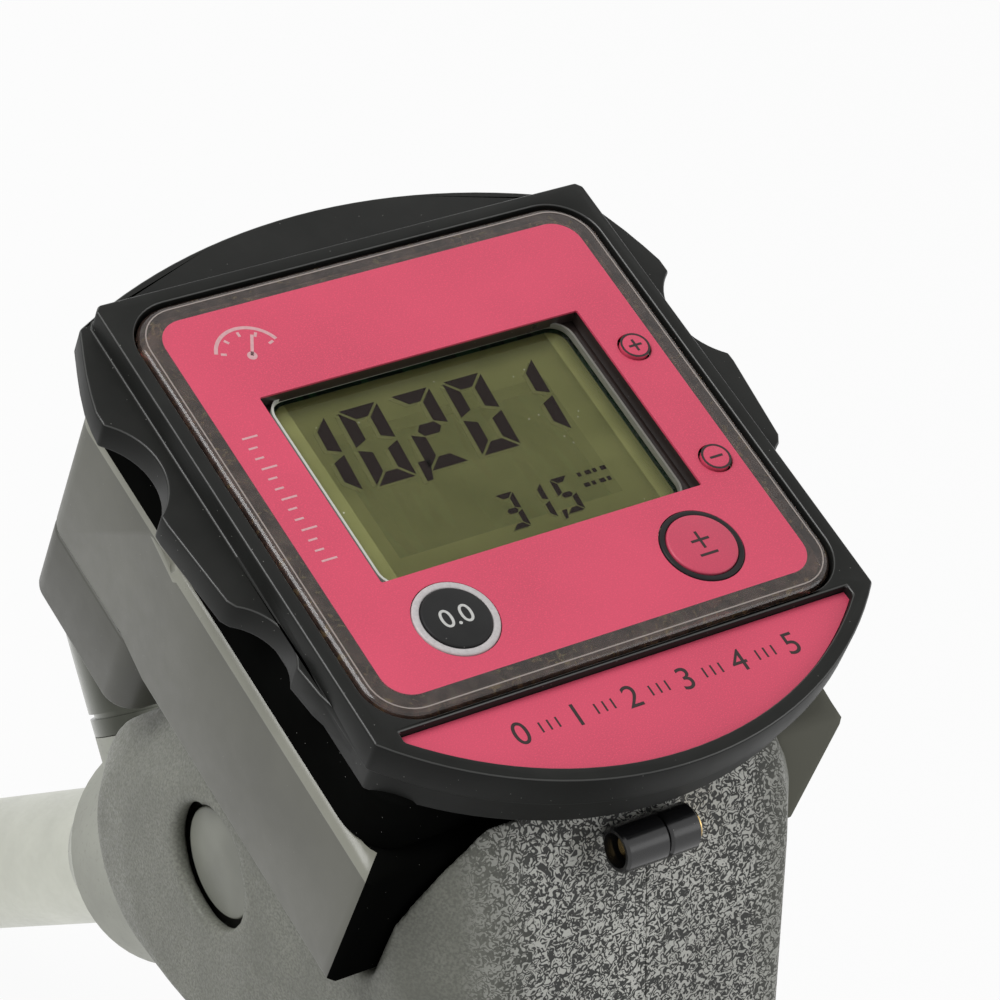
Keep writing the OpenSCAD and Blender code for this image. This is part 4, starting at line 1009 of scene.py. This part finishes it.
class NOZZLE_OT_keys(PieceOperator, Operator):
    """Finishes the four keys, their rings and the signs on them"""

    bl_idname = "nozzle.keys"
    bl_label = "Keys"

    def cross(self, bm, spot, strokes, reach, width, height):
        """A minus, or with two strokes a plus"""
        for turn in range(strokes):
            way = flat(1 - turn, turn) * reach
            bar(bm, spot - way, spot + way, width, height, self.head.print_height * (1 + 0.3 * turn))

    def sign(self, name, bm, node, material):
        printed(name, bm, material, NODE_SLOT[node], NODE_BODY[node])

    def execute(self, context):
        label, thin = self.head.label_colour, self.head.print_height
        red = label_film("key film", label)
        deep = label_film("calibration key film", shade(label, 0.85))
        black = moulded("reset key plastic", (0.02, 0.02, 0.021), 0.4)
        dark = ink("key print", self.head.ink_colour)
        pale = ink("reset print", (0.62, 0.62, 0.6))
        keys = {"reset_button": black, "cal_button": deep, "plus_button": red, "minus_button": red}
        for node, material in keys.items():
            rounded(node, material, 0.35, 3)
        rounded("reset_ring", ink("ring silver", (0.6, 0.57, 0.57), 0.3), 0.3, 3)
        rounded("cal_ring", moulded("ring plastic", (0.02, 0.018, 0.02), 0.3), 0.3, 3)
        for node, strokes in (("plus_button", 2), ("minus_button", 1)):
            spot, top = middle(node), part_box(node)[1].z
            bm = bmesh.new()
            flat_ring(bm, spot, 2.05 * MM, 2.42 * MM, top - 0.02 * MM, thin, 48)
            self.cross(bm, spot, strokes, 1.15 * MM, 0.42, top)
            self.sign(node.replace("button", "sign"), bm, node, dark)
        bm = bmesh.new()
        text_mesh(bm, "0.0", 4.6 * MM, middle("reset_button"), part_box("reset_button")[1].z, thin)
        self.sign("reset_sign", bm, "reset_button", pale)
        spot, top = middle("cal_button"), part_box("cal_button")[1].z
        bm = bmesh.new()
        for place, strokes in ((0.8 * MM, 2), (-1.9 * MM, 1)):
            self.cross(bm, spot + flat(0, place), strokes, 1.6 * MM, 0.45, top)
        self.sign("calibration_sign", bm, "cal_button", dark)
        return {"FINISHED"}


class NOZZLE_OT_meter(PieceOperator, Operator):
    """Finishes the meter housing, its outlet block and the gear train inside"""

    bl_idname = "nozzle.meter"
    bl_label = "Meter"

    def housing(self):
        """The housing with its near corners, round in the solid, brought out almost square"""
        housing = merged("meter_housing")
        low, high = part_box("meter_housing")
        old, new, near_zero = 5 * MM, self.body.wall_corner, 0.01 * MM
        furthest = old + (math.sqrt(2) - 1) * (old - new)
        for side in (-1, 1):
            hub = Vector((side * (high.x - old), low.y + old))
            for vert in housing.verts:
                way = vert.co.xy - hub
                if way.x * side > near_zero and way.y < -near_zero and way.length > old * 0.6:
                    scale = min(old / max(abs(way.x), abs(way.y)), furthest / way.length)
                    vert.co.xy = hub + way * scale * (way.length / old)
        soften(housing, 0.8 * MM, 3, 66)
        return housing

    def execute(self, context):
        painting = self.body.housing_colour
        housing = dressed("meter_housing", self.housing(), satin_paint("meter paint", painting))
        # Painted shade and light: near black where the bezel shades the meter, and lighter paint on the near
        # face at the right
        shaded = near_wall("near wall", shade(self.head.plastic_colour, 0.3), shade(painting, 1.7))
        painted_highlight = satin_paint("rubbed edge", shade(painting, 2.2), 0.3)
        faced(housing, shaded, lambda way: way.y < -0.3 or way.z > 0.97 or (way.z > 0.1 and way.x > -0.25))
        # Painted highlight along the upper edge of the meter's left wall
        faced(housing, painted_highlight, lambda way: 0.1 < way.z <= 0.97 and way.x < -0.25 and way.y > -0.25)
        rounded("outlet_block", satin_paint("block paint", shade(painting, 0.6)), 0.6, 3)
        gears = metal("gear alloy", (0.72, 0.73, 0.75), 0.3, texture=0.4)
        paint(gears, "gear_left", "gear_right", "chamber_cover")
        pins = metal("ground steel", (0.6, 0.6, 0.62), 0.2, (1, 1, 0.1))
        paint(pins, "gear_shafts", "pivot_pin", "latch_pin")
        paint(metal("magnet", (0.2, 0.2, 0.21), 0.35), "gear_magnets")
        paint(rubber("seal rubber", (0.02, 0.02, 0.02)), "chamber_seal", "poppet_seal", "shutoff_diaphragm")
        return {"FINISHED"}


class NOZZLE_OT_cover(PieceOperator, Operator):
    """Finishes the two grained cover halves, the cross screw and the side plugs"""

    bl_idname = "nozzle.cover"
    bl_label = "Cover"

    def round_boss(self, profile, **settings):
        """A shape turned about the cross screw"""
        screw = middle("cover_screw")
        return turned(profile, (0, screw.y, screw.z), (1, 0, 0), **settings)

    def shell(self):
        """The whole cover, smoothed, with a seat for the bosses"""
        body = self.body
        bm = joined("cover_left", "cover_right")
        bm = worked(bm, "REMESH", mode="VOXEL", voxel_size=body.shell_grid)
        bm = worked(bm, "SMOOTH", factor=0.5, iterations=body.shell_smoothing)
        radius = body.boss_radius + 0.1 * MM
        left, right = -body.boss_left, body.boss_right
        seat = [(left, 0), (left, radius), (right, radius), (right, 0)]
        return carved(bm, self.round_boss(seat, closed=False, segments=48))

    def plugs(self):
        """The side plugs, grown to fill the cover's windows"""
        bm = merged("side_plugs")
        low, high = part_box("side_plugs")
        grown = 1 + self.body.plug_growth / ((high.y - low.y) / 2)
        place = Matrix.Translation(-middle("side_plugs"))
        bmesh.ops.scale(bm, verts=bm.verts, vec=(1, grown, grown), space=place)
        soften(bm, 0.4 * MM, 3)
        return bm

    def execute(self, context):
        body = self.body
        grain = wrinkle_grain(
            "cover grain", body.cover_colour, body.cover_shade, body.lobe_colour, body.grain_size)
        shell = self.shell()
        gap, far = body.seam_gap / 2, 160 * MM
        spot = middle("cover_screw")
        for node, start, end in (("cover_left", -far, -gap), ("cover_right", gap, far)):
            half = block((start, spot.y - far, spot.z - far), (end, spot.y + far, spot.z + far))
            dressed(node, carved(shell.copy(), half, "INTERSECT"), grain, 50)
        shell.free()
        black = moulded("boss plastic", (0.012, 0.012, 0.013), 0.18, depth=0.002, film=0, shine=0.6)
        r, bore, edge = body.boss_radius, body.boss_bore, 0.4 * MM
        start, end = -body.boss_left, -0.08 * MM
        sink, rim = start + 3.2 * MM, r - 1.1 * MM
        head_seat = [(sink, bore), (sink, rim), (start, rim + 0.2 * MM)]
        tail = [(start, r - edge), (start + edge, r), (end - edge, r), (end, r - edge), (end, bore)]
        add_piece("boss_left", self.round_boss(head_seat + tail), black, "cover_grain")
        start, end = 0.08 * MM, body.boss_right
        sides = [(start, r - edge), (start + edge, r), (end - edge, r), (end, r - edge)]
        add_piece("boss_right", self.round_boss([(start, bore), *sides, (end, bore)]), black, "cover_grain")
        brass = metal("brass", (0.78, 0.55, 0.22), 0.2)
        paint(brass, "cover_screw", "packing_nut")
        outer, wide = end + 0.6 * MM, 2.7 * MM
        insert = [(end, bore), (end, wide), (end + 0.5 * MM, wide), (outer, 2.5 * MM), (outer, bore)]
        add_piece("boss_insert", self.round_boss(insert), brass, "brass")
        dressed("side_plugs", self.plugs(), moulded("plug plastic", body.lobe_colour, 0.4, film=0, shine=0.4))
        return {"FINISHED"}


class NOZZLE_OT_handle(PieceOperator, Operator):
    """Finishes the casting, the grip and the hose inlet"""

    bl_idname = "nozzle.handle"
    bl_label = "Handle"

    def execute(self, context):
        alloy = self.body.alloy_colour
        paint(cast_alloy("cast alloy", shade(alloy, 0.76)), "body_casting")
        rounded("grip_sleeve", rubber("grip rubber", (0.022, 0.022, 0.023)), 0.6, 3)
        rounded("inlet_ring", metal("turned alloy", alloy, 0.25, (1, 0.1, 1)), 0.4)
        return {"FINISHED"}


class NOZZLE_OT_trigger(PieceOperator, Operator):
    """Finishes the lever, its guard, the latch and their fasteners"""

    bl_idname = "nozzle.trigger"
    bl_label = "Lever and guard"

    def execute(self, context):
        rounded("trigger_lever", satin_paint("powder coat", (0.022, 0.022, 0.024), 0.48), 0.8, 3)
        rounded("lever_guard", moulded("guard plastic", (0.024, 0.024, 0.025), 0.5), 0.8, 3)
        rounded("hold_open_latch", metal("plated steel", (0.62, 0.6, 0.55), 0.3), 0.3)
        rounded("guard_screws", metal("guard screw steel", (0.5, 0.5, 0.52), 0.3), 0.3)
        return {"FINISHED"}


class NOZZLE_OT_valve(PieceOperator, Operator):
    """Finishes the valve stem and the shut-off's spring, and winds the valve's coil spring"""

    bl_idname = "nozzle.valve"
    bl_label = "Valve"

    def execute(self, context):
        steel = metal("stem steel", (0.62, 0.62, 0.64), 0.22, (1, 1, 0.1))
        paint(steel, "valve_stem", "shutoff_spring")
        low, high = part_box("valve_spring")
        wire = self.body.coil_wire
        base = Vector((*middle("valve_spring").xy, low.z))
        radius = (high.x - low.x) / 2 - wire
        bm = coil(base, up(1), radius, wire, high.z - low.z, self.body.coil_turns)
        piece = add_piece("valve_coil", bm, steel, "stem_steel", "nozzle", ("valve_spring",))
        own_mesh(piece)
        return {"FINISHED"}


class NOZZLE_OT_spout(PieceOperator, Operator):
    """Finishes the spout, its nut and collar, and the polished shut-off cap"""

    bl_idname = "nozzle.spout"
    bl_label = "Spout"

    def execute(self, context):
        alloy = self.body.alloy_colour
        paint(metal("satin alloy", alloy, 0.36, (1, 0.3, 0.3)), "spout_tube", "vacuum_tube")
        rounded("spout_collar", metal("collar alloy", shade(alloy, 0.8), 0.3), 0.3)
        rounded("spout_nut", metal("nut alloy", shade(alloy, 0.85), 0.3), 0.5)
        # The cap's bands are painted reflections, the brightest set at 148 degrees round the upright axis
        reflection_bands, brightest = 4, math.radians(148)
        cap = polished("polished cap", (0.05, 0.052, 0.043), (0.36, 0.37, 0.32), reflection_bands, -brightest * reflection_bands)
        paint(cap, "shutoff_cap")
        return {"FINISHED"}


class NOZZLE_OT_stage(PieceOperator, Operator):
    """Sets the floor, the soft studio light and the camera"""

    bl_idname = "nozzle.stage"
    bl_label = "Studio"

    floor_share = 0.93  # of the floor's white that is its own, the rest takes the shadow
    aim_shift = Vector((-3.4, -9.7, 0)) * MM

    def seen_directly(self, nodes):
        """1 for what the camera, a reflection or a clear piece shows"""
        path = nodes.add("LightPath").outputs
        first = nodes.calc("MAXIMUM", path["Is Camera Ray"], path["Is Glossy Ray"])
        return nodes.calc("MAXIMUM", first, path["Is Transmission Ray"])

    def floor(self):
        bm = bmesh.new()
        bmesh.ops.create_circle(
            bm, cap_ends=True, segments=64, radius=3.0,
            matrix=Matrix.Translation((DISPLAY.x, DISPLAY.y, CAD_BOX[0].z - 0.5 * MM)),
        )
        floor = linked("floor", mesh_of(bm, "floor"))
        f = Finish("pale floor")
        white = f.add("Emission", {"Color": (1, 1, 1, 1), "Strength": 1.0})
        matt = f.add("BsdfDiffuse", {"Color": (0.86, 0.86, 0.86, 1)})
        share = f.calc("MULTIPLY", self.seen_directly(f), self.floor_share)
        f.close(f.add("MixShader", {0: share, 1: matt.outputs[0], 2: white.outputs[0]}))
        floor.data.materials.append(f.material)

    def surroundings(self, scene, strength):
        scene.world = bpy.data.worlds.new("studio")
        scene.world.use_nodes = True
        sky = Nodes(scene.world.node_tree)
        strength = sky.spread(self.seen_directly(sky), strength, 1.0)
        sky.close(sky.add("Background", {"Color": (1, 1, 1, 1), "Strength": strength}), "OutputWorld")

    def lamp(self, name, way, power):
        target = DISPLAY - up(40 * MM)
        light = bpy.data.lights.new(name, "AREA")
        light.shape = "DISK"
        light.size = 0.8
        light.energy = power
        lamp = linked(name, light)
        lamp.location = target + way
        lamp.rotation_euler = way.to_track_quat("Z", "Y").to_euler()

    def camera(self, stage):
        camera = linked("camera", bpy.data.cameras.new("camera"))
        camera.data.lens = stage.focal_length
        camera.data.sensor_width = 36
        camera.data.clip_start = 0.01
        run, fall = math.cos(stage.elevation), math.sin(stage.elevation)
        sight = Vector((run * math.sin(stage.azimuth), run * math.cos(stage.azimuth), -fall))
        camera.matrix_world = (
            Matrix.Translation(DISPLAY + self.aim_shift - sight * stage.distance)
            @ (-sight).to_track_quat("Z", "Y").to_matrix().to_4x4()
            @ Matrix.Rotation(stage.roll, 4, "Z")
        )
        return camera

    def execute(self, context):
        scene = context.scene
        stage = scene.nozzle_stage
        scene.view_settings.view_transform = "Standard"
        self.floor()
        self.surroundings(scene, stage.world_strength)
        self.lamp("key light", Vector((-0.7, 0.45, 0.95)), stage.key_power)
        self.lamp("fill light", Vector((0.9, -0.7, 0.6)), stage.fill_power)
        scene.camera = self.camera(stage)
        return {"FINISHED"}


class NOZZLE_PT_panel(Panel):
    """Lists the pieces and their settings"""

    bl_idname = "NOZZLE_PT_panel"
    bl_label = "Fuel nozzle"
    bl_space_type = "VIEW_3D"
    bl_region_type = "UI"
    bl_category = "Nozzle"

    def draw(self, context):
        layout = self.layout
        for operator in OPERATORS:
            layout.operator(operator.bl_idname)
        for name, group in GROUPS.items():
            box = layout.box()
            for setting in group.__annotations__:
                box.prop(getattr(context.scene, name), setting)


GROUPS = {"nozzle_head": HeadSettings, "nozzle_body": BodySettings, "nozzle_stage": StageSettings}
OPERATORS = tuple(PieceOperator.__subclasses__())
CLASSES = (*GROUPS.values(), *OPERATORS, NOZZLE_PT_panel)


def register():
    for cls in CLASSES:
        bpy.utils.register_class(cls)
    for name, group in GROUPS.items():
        setattr(bpy.types.Scene, name, PointerProperty(type=group))


def unregister():
    for name in GROUPS:
        delattr(bpy.types.Scene, name)
    for cls in reversed(CLASSES):
        bpy.utils.unregister_class(cls)


def main():
    register()
    for operator in OPERATORS:
        getattr(bpy.ops.nozzle, operator.bl_idname.split(".")[1])()


if __name__ == "__main__":
    main()
